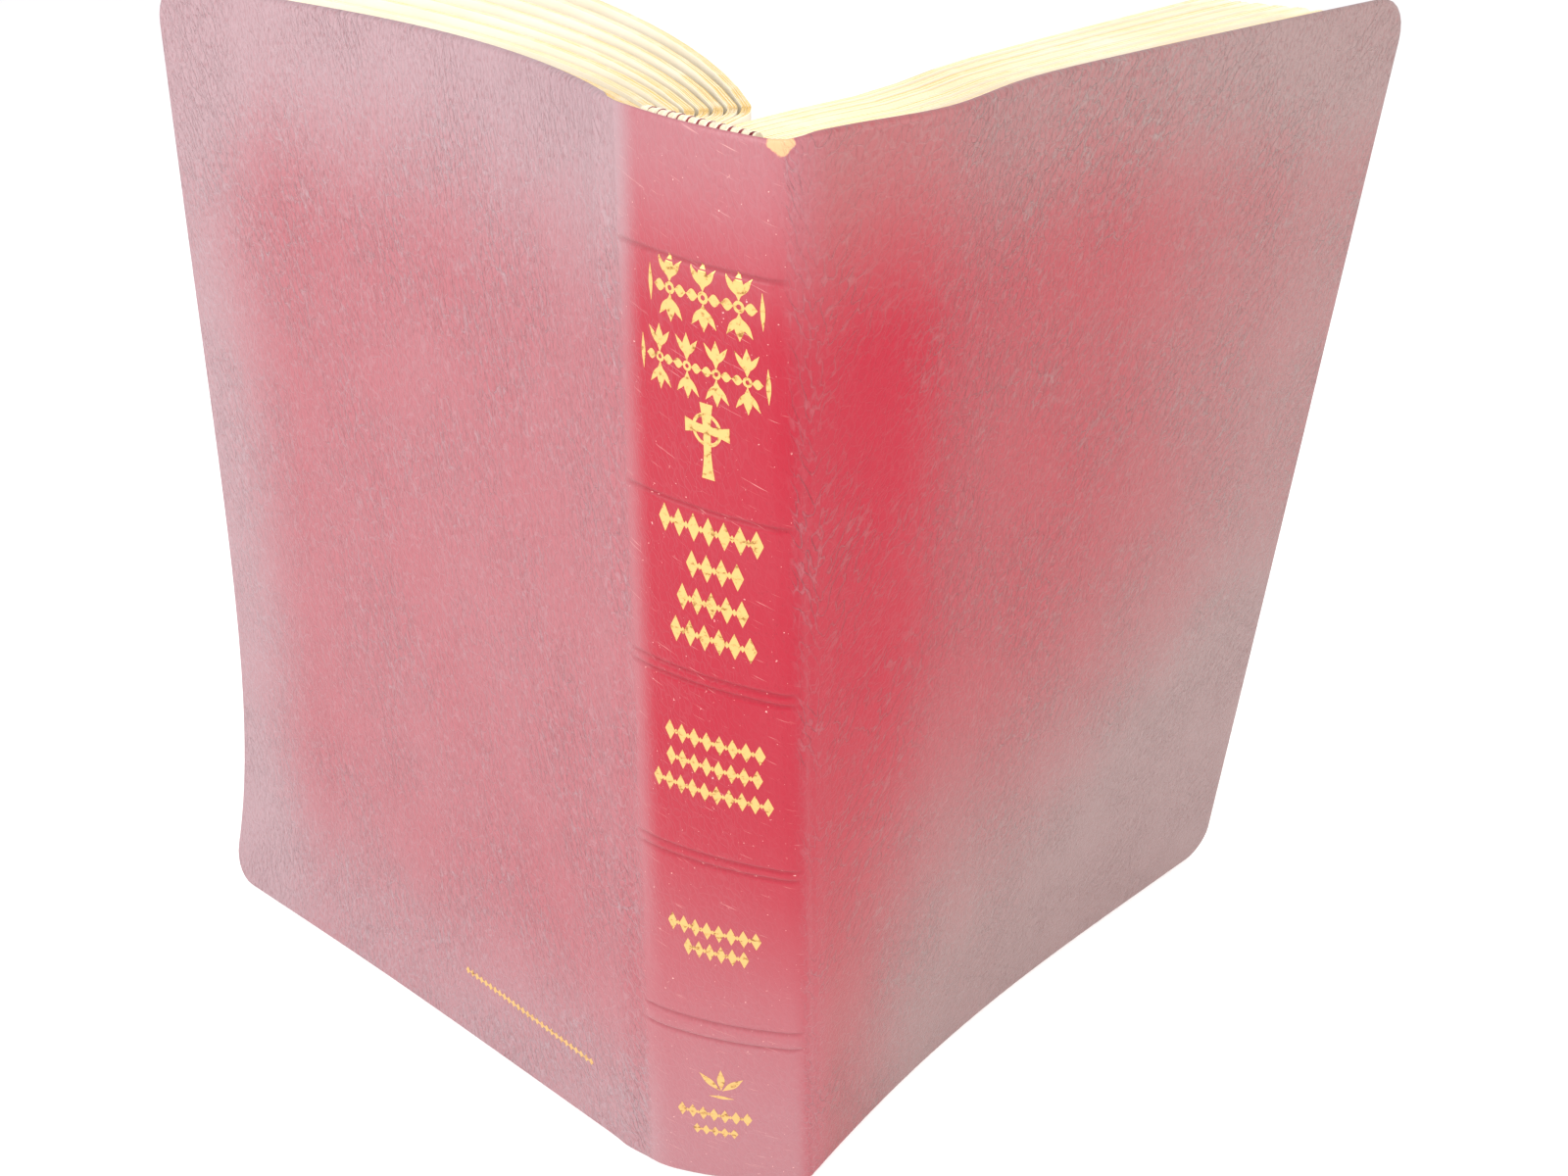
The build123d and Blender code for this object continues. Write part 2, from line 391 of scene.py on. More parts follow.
    # Broad cushioning of the hide over its board
    swell = mottle(tree, hide, 10, (9 * MM, 16 * MM), 1.0)
    grain_height = add(
        tree, "ShaderNodeMath",
        [
            add(tree, "ShaderNodeMath", [pebbles, 0.42], operation="MULTIPLY"),
            add(tree, "ShaderNodeMath", [fine, 0.40], operation="MULTIPLY"),
        ],
        operation="ADD",
    )
    by_front_joint = near(tree, across, up, (half_spine + 10 * MM, 140 * MM), (34 * MM, 150 * MM))
    calm = add(
        tree, "ShaderNodeMath",
        [
            add(tree, "ShaderNodeMapRange", [on_spine, 0.0, 1.0, 1.0, 0.30], **SMOOTH),
            add(tree, "ShaderNodeMapRange", [by_front_joint, 0.2, 1.0, 1.0, 0.40], **SMOOTH),
        ],
        operation="MULTIPLY",
    )
    calm = add(
        tree, "ShaderNodeMath",
        [calm, add(tree, "ShaderNodeMapRange", [patches, 0.0, 1.0, 0.78, 1.06], **SMOOTH)],
        operation="MULTIPLY",
    )
    height = add(tree, "ShaderNodeMath", [grain_height, calm], operation="MULTIPLY")
    height = add(
        tree, "ShaderNodeMath",
        [height, add(tree, "ShaderNodeMath", [wrinkled, 0.75], operation="MULTIPLY")],
        operation="SUBTRACT",
    )
    height = add(
        tree, "ShaderNodeMath",
        [height, add(tree, "ShaderNodeMath", [swell, 0.9], operation="MULTIPLY")], operation="ADD",
    )
    relief = add(tree, "ShaderNodeBump", {"Height": height, "Distance": 0.23 * MM, "Strength": 1.0})

    # Dye, deeper in the grain, under a painted sheen that pales it towards the edges, least by the joint
    cloud = mottle(tree, hide, 12, (34 * MM, 52 * MM), 2.0, 0.5)
    from_back = add(
        tree, "ShaderNodeMath",
        [add(tree, "ShaderNodeMath", [across, -1.0], operation="MULTIPLY"), half_spine],
        operation="SUBTRACT",
    )
    from_front = add(tree, "ShaderNodeMath", [across, half_spine], operation="SUBTRACT")

    def total(*parts):
        result = parts[0]
        for part in parts[1:]:
            result = add(tree, "ShaderNodeMath", [result, part], operation="ADD")
        return result

    # How far the painted sheen pales the spine, the back cover and the front cover, place by place
    spine_painted_sheen = total(
        add(tree, "ShaderNodeMapRange", [up, 205 * MM, 240 * MM, 0.0, 0.50], **SMOOTH),
        add(tree, "ShaderNodeMapRange", [up, 0.0, 125 * MM, 0.62, 0.0], **SMOOTH),
    )
    back_painted_sheen = total(
        add(tree, "ShaderNodeMapRange", [from_back, 0.0, 14 * MM, 0.50, 0.42], **SMOOTH),
        add(tree, "ShaderNodeMapRange", [up, 190 * MM, 240 * MM, 0.0, 0.55], **SMOOTH),
        add(tree, "ShaderNodeMapRange", [up, 0.0, 60 * MM, 0.35, 0.0], **SMOOTH),
        add(
            tree, "ShaderNodeMapRange", [from_back, cover_reach - 42 * MM, cover_reach, 0.0, 0.45],
            **SMOOTH,
        ),
        add(tree, "ShaderNodeMapRange", [from_back, 0.0, 12 * MM, -0.10, 0.0], **SMOOTH),
    )
    low_front = add(
        tree, "ShaderNodeMath",
        [
            add(tree, "ShaderNodeMapRange", [up, 15 * MM, 140 * MM, 0.72, 0.0], **SMOOTH),
            add(tree, "ShaderNodeMapRange", [from_front, -4 * MM, 44 * MM, 0.4, 1.0], **SMOOTH),
        ],
        operation="MULTIPLY",
    )
    front_painted_sheen = total(
        add(tree, "ShaderNodeMapRange", [from_front, 18 * MM, 60 * MM, 0.0, 0.2], **SMOOTH),
        add(tree, "ShaderNodeMapRange", [from_front, 62 * MM, 165 * MM, 0.0, 0.5], **SMOOTH),
        add(tree, "ShaderNodeMapRange", [up, 200 * MM, 240 * MM, 0.0, 0.48], **SMOOTH), low_front,
    )
    spine_tone = add(
        tree, "ShaderNodeMath",
        [
            add(
                tree, "ShaderNodeMapRange", [across, -half_spine - 0.5 * MM, -half_spine + 6 * MM],
                **SMOOTH,
            ),
            add(
                tree, "ShaderNodeMapRange",
                [across, half_spine - 2 * MM, half_spine + 2 * MM, 1.0, 0.0], **SMOOTH,
            ),
        ],
        operation="MULTIPLY",
    )
    front_side = add(tree, "ShaderNodeMath", [across, 0.0], operation="GREATER_THAN")
    covers_painted_sheen = add(
        tree, "ShaderNodeMix", {0: front_side, 2: back_painted_sheen, 3: front_painted_sheen}, data_type="FLOAT"
    ).outputs[0]
    painted_sheen = add(
        tree, "ShaderNodeMix", {0: spine_tone, 2: covers_painted_sheen, 3: spine_painted_sheen}, data_type="FLOAT"
    ).outputs[0]
    uneven = add(
        tree, "ShaderNodeMath",
        [add(tree, "ShaderNodeMath", [cloud, 0.5], operation="SUBTRACT"), 0.17],
        operation="MULTIPLY",
    )
    # Painted light and shade on the grain: paler where it stands high, deeper where it lies low
    painted_grain_shading = add(
        tree, "ShaderNodeMath",
        [
            add(
                tree, "ShaderNodeMath",
                [add(tree, "ShaderNodeMath", [grain_height, 0.45], operation="SUBTRACT"), 0.22],
                operation="MULTIPLY",
            ),
            calm,
        ],
        operation="MULTIPLY",
    )
    # Painted sheen in the grain's valleys
    painted_valley_sheen = add(
        tree, "ShaderNodeMath",
        [add(tree, "ShaderNodeMath", [1.0, pebbles], operation="SUBTRACT"), calm],
        operation="MULTIPLY",
    )
    # The painted sheen in all: varied at random, with painted light on the grain, and painted sheen in the valleys
    # and along the creases
    painted_sheen = total(
        painted_sheen, uneven, painted_grain_shading, add(tree, "ShaderNodeMath", [painted_valley_sheen, 0.26], operation="MULTIPLY"),
        add(tree, "ShaderNodeMath", [wrinkled, 0.24], operation="MULTIPLY"),
    )
    painted_sheen = add(tree, "ShaderNodeMath", [painted_sheen, 0.0], operation="MAXIMUM")
    # The colour of the painted sheen: one for the back cover and spine, one for the front
    pale = add(
        tree, "ShaderNodeMix",
        {0: on_front, 6: alpha(cover.back_painted_sheen), 7: alpha(cover.front_painted_sheen)}, **COLOURS,
    ).outputs[2]
    colour = add(
        tree, "ShaderNodeMix",
        {
            0: add(tree, "ShaderNodeMath", [painted_sheen, 1.0], operation="MINIMUM"),
            6: alpha(cover.leather), 7: pale,
        },
        **COLOURS,
    ).outputs[2]
    lines = 0.0
    for line in pressed_lines:
        gap = add(
            tree, "ShaderNodeMath",
            [add(tree, "ShaderNodeMath", [up, line * MM], operation="SUBTRACT")],
            operation="ABSOLUTE",
        )
        line = add(tree, "ShaderNodeMapRange", [gap, 0.20 * MM, 0.75 * MM, 0.26, 0.0], **SMOOTH)
        lines = add(tree, "ShaderNodeMath", [lines, line], operation="MAXIMUM")
    hollow = add(tree, "ShaderNodeMapRange", [fine, 0.30, 0.55, 0.30, 0.0], **SMOOTH)
    pooled = total(
        add(tree, "ShaderNodeMath", [hollow, calm], operation="MULTIPLY"),
        add(tree, "ShaderNodeMath", [pores, 0.34], operation="MULTIPLY"),
        add(tree, "ShaderNodeMath", [lines, on_spine], operation="MULTIPLY"),
    )
    colour = add(
        tree, "ShaderNodeMix", {0: pooled, 6: colour, 7: alpha(cover.leather_deep)}, **COLOURS
    ).outputs[2]
    worn_at_head = near(tree, across, up, (half_spine, 240 * MM), (3.2 * MM, 3.2 * MM))
    rough_edge = mottle(tree, hide, 0, (1.6 * MM, 1.2 * MM), 3.0, 0.6)
    bare = add(
        tree, "ShaderNodeMapRange",
        [add(tree, "ShaderNodeMath", [worn_at_head, rough_edge], operation="ADD"), 0.85, 1.15],
        **SMOOTH,
    )
    bare = add(
        tree, "ShaderNodeMath",
        [bare, add(tree, "ShaderNodeMapRange", [worn_at_head, 0.02, 0.3], **SMOOTH)],
        operation="MULTIPLY",
    )
    colour = add(
        tree, "ShaderNodeMix", {0: bare, 6: colour, 7: alpha(cover.leather_bare)}, **COLOURS
    ).outputs[2]
    # White specks and light scuffs on the spine
    speck = mottle(tree, hide, 0, (0.9 * MM, 0.9 * MM), 2.0, 0.7)
    speck = add(tree, "ShaderNodeMapRange", [speck, 0.70, 0.74], **SMOOTH)
    scuff = mottle(tree, hide, 74, (0.35 * MM, 9 * MM), 2.0, 0.6)
    scuff = add(
        tree, "ShaderNodeMath",
        [add(tree, "ShaderNodeMapRange", [scuff, 0.66, 0.74], **SMOOTH), 0.40],
        operation="MULTIPLY",
    )
    marks = add(
        tree, "ShaderNodeMath",
        [
            add(tree, "ShaderNodeMath", [speck, scuff], operation="ADD", use_clamp=True),
            add(tree, "ShaderNodeMapRange", [on_spine, 0.0, 1.0, 0.12, 0.75], **SMOOTH),
        ],
        operation="MULTIPLY",
    )
    colour = add(
        tree, "ShaderNodeMix", {0: marks, 6: colour, 7: alpha(linear("#e8b7ae"))}, **COLOURS
    ).outputs[2]
    gloss = add(tree, "ShaderNodeMapRange", [fine, 0.2, 0.8, 0.36, 0.50], **SMOOTH)
    gloss = add(
        tree, "ShaderNodeMath",
        [gloss, add(tree, "ShaderNodeMath", [wrinkled, 0.08], operation="MULTIPLY")],
        operation="ADD",
    )
    gloss = add(
        tree, "ShaderNodeMath",
        [gloss, add(tree, "ShaderNodeMath", [on_spine, 0.06], operation="MULTIPLY")],
        operation="SUBTRACT",
    )
    gloss = add(
        tree, "ShaderNodeMath",
        [gloss, add(tree, "ShaderNodeMath", [on_back, 0.03], operation="MULTIPLY")],
        operation="ADD",
    )
    shader = add(
        tree, "ShaderNodeBsdfPrincipled",
        {"Base Color": colour, "Roughness": gloss, "Normal": relief.outputs["Normal"],
         "IOR": 1.5, "Specular IOR Level": 0.28, "Sheen Weight": 0.03, "Sheen Roughness": 0.5},
    )
    add(tree, "ShaderNodeOutputMaterial", {"Surface": shader})
    return material


def gold_foil(tooling):
    """Hot-pressed imitation gold foil: bright and warm, rubbed dull where it is thin."""
    material, tree = new_finish("gold foil, hot pressed")
    hide = add(tree, "ShaderNodeUVMap", uv_map="hide").outputs["UV"]
    rub = mottle(tree, hide, 20, (1.5 * MM, 1.1 * MM), 4.0, 0.65)
    rubbed = add(tree, "ShaderNodeMapRange", [rub, 0.52, 0.68], **SMOOTH)
    colour = add(
        tree, "ShaderNodeMix", {0: rubbed, 6: alpha(tooling.gold), 7: alpha(tooling.gold_rubbed)},
        **COLOURS,
    ).outputs[2]
    relief = add(tree, "ShaderNodeBump", {"Height": rub, "Distance": 0.05 * MM, "Strength": 0.6})
    shader = add(
        tree, "ShaderNodeBsdfPrincipled",
        {
            "Base Color": colour, "Metallic": 0.55,
            "Roughness": add(tree, "ShaderNodeMapRange", [rub, 0.3, 0.7, 0.30, 0.5], **SMOOTH),
            "Normal": relief.outputs["Normal"],
        },
    )
    add(tree, "ShaderNodeOutputMaterial", {"Surface": shader})
    return material


def fibrous(name, colour, fleck, fibre, roughness, relief_depth):
    """Paper, card or cloth: a matt colour with flecks as long as its fibres."""
    material, tree = new_finish(name)
    at = add(tree, "ShaderNodeTexCoord").outputs["Object"]
    felt = mottle(tree, at, 25, (fibre, fibre * 4, fibre), 3.0, 0.6)
    tone = mottle(tree, at, 0, (40 * MM, 60 * MM), 2.0)
    mixed = add(
        tree, "ShaderNodeMix",
        {
            0: add(tree, "ShaderNodeMapRange", [felt, 0.35, 0.75], **SMOOTH), 6: alpha(colour),
            7: alpha(fleck),
        },
        **COLOURS,
    ).outputs[2]
    mixed = add(
        tree, "ShaderNodeMix",
        {
            0: add(tree, "ShaderNodeMapRange", [tone, 0.4, 0.8, 0.0, 0.35], **SMOOTH), 6: mixed,
            7: alpha(fleck),
        },
        **COLOURS,
    ).outputs[2]
    relief = add(
        tree, "ShaderNodeBump", {"Height": felt, "Distance": relief_depth, "Strength": 0.6}
    )
    shader = add(
        tree, "ShaderNodeBsdfPrincipled",
        {"Base Color": mixed, "Roughness": roughness, "Normal": relief.outputs["Normal"],
         "IOR": 1.47},
    )
    add(tree, "ShaderNodeOutputMaterial", {"Surface": shader})
    return material


def woven(name, colour, thread_pitch, gap_colour):
    """Open woven cloth: threads over and under at the pitch of the weave, darker in the gaps."""
    material, tree = new_finish(name)
    at = add(tree, "ShaderNodeTexCoord").outputs["Object"]
    laid = add(
        tree, "ShaderNodeMapping",
        {"Vector": at, "Rotation": (0, 0, math.radians(math.degrees(into_heading) - 90)),
         "Scale": (thread_pitch, thread_pitch, thread_pitch)}, vector_type="TEXTURE",
    )
    place = add(tree, "ShaderNodeSeparateXYZ", {"Vector": laid})
    warp = add(
        tree, "ShaderNodeMath",
        [add(tree, "ShaderNodeMath", [place.outputs["X"], 2 * math.pi], operation="MULTIPLY")],
        operation="SINE",
    )
    weft = add(
        tree, "ShaderNodeMath",
        [add(tree, "ShaderNodeMath", [place.outputs["Z"], 2 * math.pi], operation="MULTIPLY")],
        operation="SINE",
    )
    thread = add(
        tree, "ShaderNodeMath",
        [
            add(tree, "ShaderNodeMath", [warp], operation="ABSOLUTE"),
            add(tree, "ShaderNodeMath", [weft], operation="ABSOLUTE"),
        ],
        operation="MAXIMUM",
    )
    slub = mottle(tree, at, 0, (0.8 * MM, 0.8 * MM), 3.0)
    mixed = add(
        tree, "ShaderNodeMix",
        {
            0: add(tree, "ShaderNodeMapRange", [thread, 0.55, 0.95], **SMOOTH),
            6: alpha(gap_colour), 7: alpha(colour),
        },
        **COLOURS,
    ).outputs[2]
    mixed = add(
        tree, "ShaderNodeMix",
        {
            0: add(tree, "ShaderNodeMapRange", [slub, 0.4, 0.8, 0.0, 0.3], **SMOOTH), 6: mixed,
            7: alpha(gap_colour),
        },
        **COLOURS,
    ).outputs[2]
    relief = add(tree, "ShaderNodeBump", {"Height": thread, "Distance": 0.12 * MM, "Strength": 0.8})
    shader = add(
        tree, "ShaderNodeBsdfPrincipled",
        {
            "Base Color": mixed, "Roughness": 0.85, "Normal": relief.outputs["Normal"],
            "Sheen Weight": 0.2,
        },
    )
    add(tree, "ShaderNodeOutputMaterial", {"Surface": shader})
    return material


def bible_paper(leaves, reach):
    """Thin calendered printing paper: warm white and nearly matt, with two columns of lines."""
    material, tree = new_finish("bible paper, printed")
    page = add(tree, "ShaderNodeUVMap", uv_map="page").outputs["UV"]
    place = add(tree, "ShaderNodeSeparateXYZ", {"Vector": page})
    out, up = place.outputs["X"], place.outputs["Y"]
    line = add(tree, "ShaderNodeMath", [up, leaves.line_pitch], operation="DIVIDE")
    row = add(tree, "ShaderNodeMath", [line], operation="FLOOR")
    in_line = add(tree, "ShaderNodeMath", [line, row], operation="SUBTRACT")
    stroke = add(
        tree, "ShaderNodeMath",
        [
            add(
                tree, "ShaderNodeMath",
                [add(tree, "ShaderNodeMath", [in_line, 0.5], operation="SUBTRACT")],
                operation="ABSOLUTE",
            ),
            0.2,
        ],
        operation="LESS_THAN",
    )
    words = add(
        tree, "ShaderNodeCombineXYZ",
        {
            "X": add(tree, "ShaderNodeMath", [out, 2.6 * MM], operation="DIVIDE"),
            "Y": add(tree, "ShaderNodeMath", [row, 7.3], operation="MULTIPLY"),
        },
    ).outputs["Vector"]
    word = add(
        tree, "ShaderNodeTexNoise",
        {"Vector": words, "Scale": 1.0, "Detail": 0.0, "Roughness": 0.5},
    )
    inked = add(tree, "ShaderNodeMath", [word, 0.43], operation="GREATER_THAN")
    columns = 0.0
    text_left, text_right, gutter = 16 * MM, reach - 12 * MM, 4 * MM
    middle = (text_left + text_right) / 2
    for start, end in ((text_left, middle - gutter / 2), (middle + gutter / 2, text_right)):
        inside = add(
            tree, "ShaderNodeMath",
            [
                add(tree, "ShaderNodeMath", [out, start], operation="GREATER_THAN"),
                add(tree, "ShaderNodeMath", [out, end], operation="LESS_THAN"),
            ],
            operation="MULTIPLY",
        )
        columns = add(tree, "ShaderNodeMath", [columns, inside], operation="ADD")
    body = add(
        tree, "ShaderNodeMath",
        [
            add(tree, "ShaderNodeMath", [up, 16 * MM], operation="GREATER_THAN"),
            add(tree, "ShaderNodeMath", [up, cover_height - 15 * MM], operation="LESS_THAN"),
        ],
        operation="MULTIPLY",
    )
    printed = add(
        tree, "ShaderNodeMath",
        [
            add(tree, "ShaderNodeMath", [stroke, inked], operation="MULTIPLY"),
            add(tree, "ShaderNodeMath", [columns, body], operation="MULTIPLY"),
        ],
        operation="MULTIPLY",
    )
    cloud = mottle(tree, page, 0, (30 * MM, 45 * MM), 3.0)
    paper = add(
        tree, "ShaderNodeMix",
        {
            0: add(tree, "ShaderNodeMapRange", [cloud, 0.35, 0.75, 0.0, 0.5], **SMOOTH),
            6: alpha(leaves.paper_colour), 7: alpha(linear("#e2d5b6")),
        },
        **COLOURS,
    ).outputs[2]
    colour = add(
        tree, "ShaderNodeMix",
        {
            0: add(tree, "ShaderNodeMath", [printed, 0.8], operation="MULTIPLY"), 6: paper,
            7: alpha(leaves.ink),
        },
        **COLOURS,
    ).outputs[2]
    tooth = mottle(tree, page, 0, (0.3 * MM, 0.5 * MM), 3.0, 0.6)
    relief = add(tree, "ShaderNodeBump", {"Height": tooth, "Distance": 0.02 * MM, "Strength": 0.5})
    shader = add(
        tree, "ShaderNodeBsdfPrincipled",
        {"Base Color": colour, "Roughness": 0.62, "Normal": relief.outputs["Normal"], "IOR": 1.48},
    )
    add(tree, "ShaderNodeOutputMaterial", {"Surface": shader})
    return material


def gilt_edge(leaves):
    """Gilded paper edge: burnished leaf over the cut sheets, broken by their fine lines."""
    material, tree = new_finish("gilt edge, burnished")
    at = add(tree, "ShaderNodeTexCoord").outputs["Object"]
    patch = mottle(tree, at, 30, (6 * MM, 9 * MM, 12 * MM), 3.0, 0.6)
    fine = mottle(tree, at, 0, (0.7 * MM, 0.7 * MM, 5 * MM), 2.0)
    colour = add(
        tree, "ShaderNodeMix",
        {
            0: add(tree, "ShaderNodeMapRange", [patch, 0.5, 0.75, 0.0, 0.55], **SMOOTH),
            6: alpha(leaves.gilt), 7: alpha(leaves.paper_colour),
        },
        **COLOURS,
    ).outputs[2]
    shader = add(
        tree, "ShaderNodeBsdfPrincipled",
        {
            "Base Color": colour, "Metallic": 0.35,
            "Roughness": add(tree, "ShaderNodeMapRange", [fine, 0.3, 0.7, 0.32, 0.5], **SMOOTH),
        },
    )
    add(tree, "ShaderNodeOutputMaterial", {"Surface": shader})
    return material


def silk(name, colour):
    """Twisted silk: a soft sheen along each stitch."""
    material, tree = new_finish(name)
    at = add(tree, "ShaderNodeTexCoord").outputs["Object"]
    strand = mottle(tree, at, 0, (0.25 * MM, 0.25 * MM, 1.2 * MM), 2.0)
    mixed = add(
        tree, "ShaderNodeMix",
        {
            0: add(tree, "ShaderNodeMapRange", [strand, 0.3, 0.8, 0.0, 0.6], **SMOOTH),
            6: alpha(colour), 7: alpha(tuple((channel * 0.45 for channel in colour))),
        },
        **COLOURS,
    ).outputs[2]
    relief = add(tree, "ShaderNodeBump", {"Height": strand, "Distance": 0.06 * MM, "Strength": 0.7})
    shader = add(
        tree, "ShaderNodeBsdfPrincipled",
        {"Base Color": mixed, "Roughness": 0.5, "Normal": relief.outputs["Normal"],
         "Sheen Weight": 0.4, "Sheen Roughness": 0.3},
    )
    add(tree, "ShaderNodeOutputMaterial", {"Surface": shader})
    return material


# ---------------------------------------------------------------------------- shape of the binding
def turned(direction, quarter_turns):
    """Plan directions turned by quarter turns, counter-clockwise from above."""
    return quarter_turns * np.stack([-direction[..., 1], direction[..., 0]], -1)


def head_turn(side, height, cover):
    """How far covers and leaves are turned at a height, because the standing book is twisted."""
    share = (height - middle_height) / (cover_height / 2)
    if side == 1:
        tail_curl = 1.44 * np.exp(-height / (35 * MM))  # the other way, where the cover stands
        return cover.twist * (0.5 + 0.5 * share - tail_curl)
    return cover.twist * 0.62 * share


def rounded_corner(before, after, bend, distance):
    """What rounds off the corner of a path, given its directions and the distance to the corner."""
    left = np.maximum(0.0, bend - np.abs(distance))
    return (after - before) * (left ** 2 / (4 * bend))[..., None]


def sideways_lean(up):
    """How far the standing book leans along its spine, towards the front joint at the head."""
    lean_at_head = 1.6 * MM
    return lean_at_head * (up - middle_height) / (cover_height / 2)


def cover_bow(side, out, up):
    """How far a standing cover bows into the book."""
    start = 4 * MM  # the bow sets in over this distance from the joint
    share = np.clip((np.hypot(out, start) - start) / (cover_reach - start), 0, 1)
    height = np.clip(up / cover_height, 0, 1)
    arch = np.sin(math.pi * share ** 0.78)
    if side == 1:
        return (0.8 + 10.4 * height ** 1.8) * MM * arch  # deepest at the head
    # The front cover bows most at the tail, and swells outwards near the head of its joint
    knuckle = 5.2 * height ** 1.5 * MM * np.exp(-((out - 31 * MM) / (17 * MM)) ** 2)
    return (5.0 - 2.4 * height) * MM * arch - knuckle * share / (share + 0.03)


def skin_path(side, across, up, cover):
    """Plan position of the joint plane of the binding, that far from the middle of the spine."""
    joint = hinge_line(f"{HALVES[side]}_cover_hinge", up)
    chord = joint - spine_middle
    chord_length = np.linalg.norm(chord, axis=-1)
    along_spine = chord / chord_length[..., None]
    heading = into_heading + side * cover_opening[side] + head_turn(side, up, cover)
    along_cover = plan_direction(heading)
    out = across - half_spine
    on_spine = np.minimum(across, half_spine) * chord_length / half_spine
    place = spine_middle + along_spine * on_spine[..., None]
    place = place + along_cover * np.maximum(out, 0)[..., None]
    bend = cover.back_bend if side == 1 else cover.front_bend
    place = place + rounded_corner(along_spine, along_cover, bend, out)
    share = np.clip(np.abs(across) / half_spine, 0, 1)
    place = place - into_book * (cover.spine_round * (1 - share ** 2) ** 1.3)[..., None]
    inside = turned(along_cover, -side)
    place = place + inside * cover_bow(side, np.maximum(out, 0), up)[..., None]
    return place + spine_across * sideways_lean(up)[..., None]


def skin_point(side, across, up, depth, cover):
    """A point of the binding; depth is measured from the joint plane towards the inside."""
    step = 0.05 * MM
    ahead = skin_path(side, across + step, up, cover) - skin_path(side, across - step, up, cover)
    along = ahead / np.linalg.norm(ahead, axis=-1)[..., None]
    inside = turned(along, -side)
    plan = skin_path(side, across, up, cover) + inside * depth[..., None]
    return np.concatenate([plan, up[..., None]], -1)


# Heights of the lines pressed across the spine, and of the pair that hold a raised band
single_lines = (218.5, 175.0, 140.3, 138.0, 97.2, 94.8)
raised_band = (45.4, 50.4)
pressed_lines = (*single_lines, *raised_band)


def outer_depth(side, across, up, cover):
    """The leather's outer face, with its fold at the joint and the lines pressed into it."""
    out = across - half_spine
    if side == 1:
        groove = 0.55 * MM * np.exp(-((out - 2.5 * MM) / (2.6 * MM)) ** 2)
        groove -= 0.22 * MM * np.exp(-((out - 8.0 * MM) / (2.0 * MM)) ** 2)
    else:
        groove = 0.16 * MM * np.exp(-((out - 3.5 * MM) / (1.0 * MM)) ** 2)
    fade = 1 / (1 + np.exp((out + 0.3 * MM) / (0.5 * MM)))  # the tooling ends at the joint
    line_width = 0.42 * MM
    pressed = np.zeros_like(up)
    for line in pressed_lines:
        pressed += cover.tooling * np.exp(-((up - line * MM) / line_width) ** 2)
    low, high = (edge * MM for edge in raised_band)
    middle, half_width = (low + high) / 2, (high - low) / 2
    raised = 0.30 * MM * np.exp(-((up - middle) / (half_width * 0.72)) ** 6)
    sway = 0.16 * MM * np.sin(across / (21 * MM) + 2.1 * side) * np.sin(up / (27 * MM) + 1.3)
    sway = sway * np.clip(out / (20 * MM), 0, 1)
    return -cover.skin + groove + (pressed - raised) * fade + sway


def inner_depth(across, cover):
    """The inner face: leather alone at the joint, leather over card beyond it."""
    card_starts, card_full = 3 * MM, 8 * MM  # from the joint
    share = np.clip((across - half_spine - card_starts) / (card_full - card_starts), 0, 1)
    return cover.skin + (cover.board - cover.skin) * share * share * (3 - 2 * share)


# ------------------------------------------------------------------------------------------ meshes
def new_piece(name, mesh, *materials):
    piece = bpy.data.objects.new(name, mesh)
    bpy.context.scene.collection.objects.link(piece)
    for material in materials:
        mesh.materials.append(material)
    return piece


def mesh_from(name, points, faces, coordinates=None, layer="hide", material_of=None, smooth=True):
    """A mesh whose faces point outwards, with a pair of surface coordinates for each vertex."""
    mesh = bpy.data.meshes.new(name)
    mesh.from_pydata([tuple(p) for p in points], [], [tuple(f) for f in faces])
    if material_of is not None:
        mesh.polygons.foreach_set("material_index", material_of)
    if coordinates is not None:
        uv = mesh.uv_layers.new(name=layer)
        corner_vertex = np.empty(len(mesh.loops), int)
        mesh.loops.foreach_get("vertex_index", corner_vertex)
        uv.data.foreach_set("uv", np.asarray(coordinates, float)[corner_vertex].ravel())
    mesh.polygons.foreach_set("use_smooth", [smooth] * len(mesh.polygons))
    shape = bmesh.new()
    shape.from_mesh(mesh)
    bmesh.ops.recalc_face_normals(shape, faces=shape.faces)
    shape.to_mesh(mesh)
    shape.free()
    mesh.update()
    return mesh


def panel_grid(columns, low, high, end=None, corner=0.0, rows=None):
    """Rows of places over a panel; its last columns draw in to round its two outer corners."""
    if rows is None:
        rows = np.linspace(low, high, 60)
    if corner:
        turns = np.linspace(0, math.pi / 2, 8)
        near_low = low + corner * (1 - np.cos(turns))
        rows = np.concatenate([near_low, rows[(rows > low + corner) & (rows < high - corner)],
                               (high + low - near_low)[::-1]])
    from_edge = np.minimum(rows - low, high - rows)
    out = np.repeat(columns[None, :], len(rows), axis=0)
    if corner:
        into = np.clip(corner - from_edge, 0, corner)
        drawn = corner - np.sqrt(np.maximum(corner ** 2 - into ** 2, 0))
        start = end - 3 * corner
        share = np.clip((columns - start) / (end - start), 0, 1)
        out = out - drawn[:, None] * share[None, :]
    return out, np.repeat(rows[:, None], len(columns), axis=1)


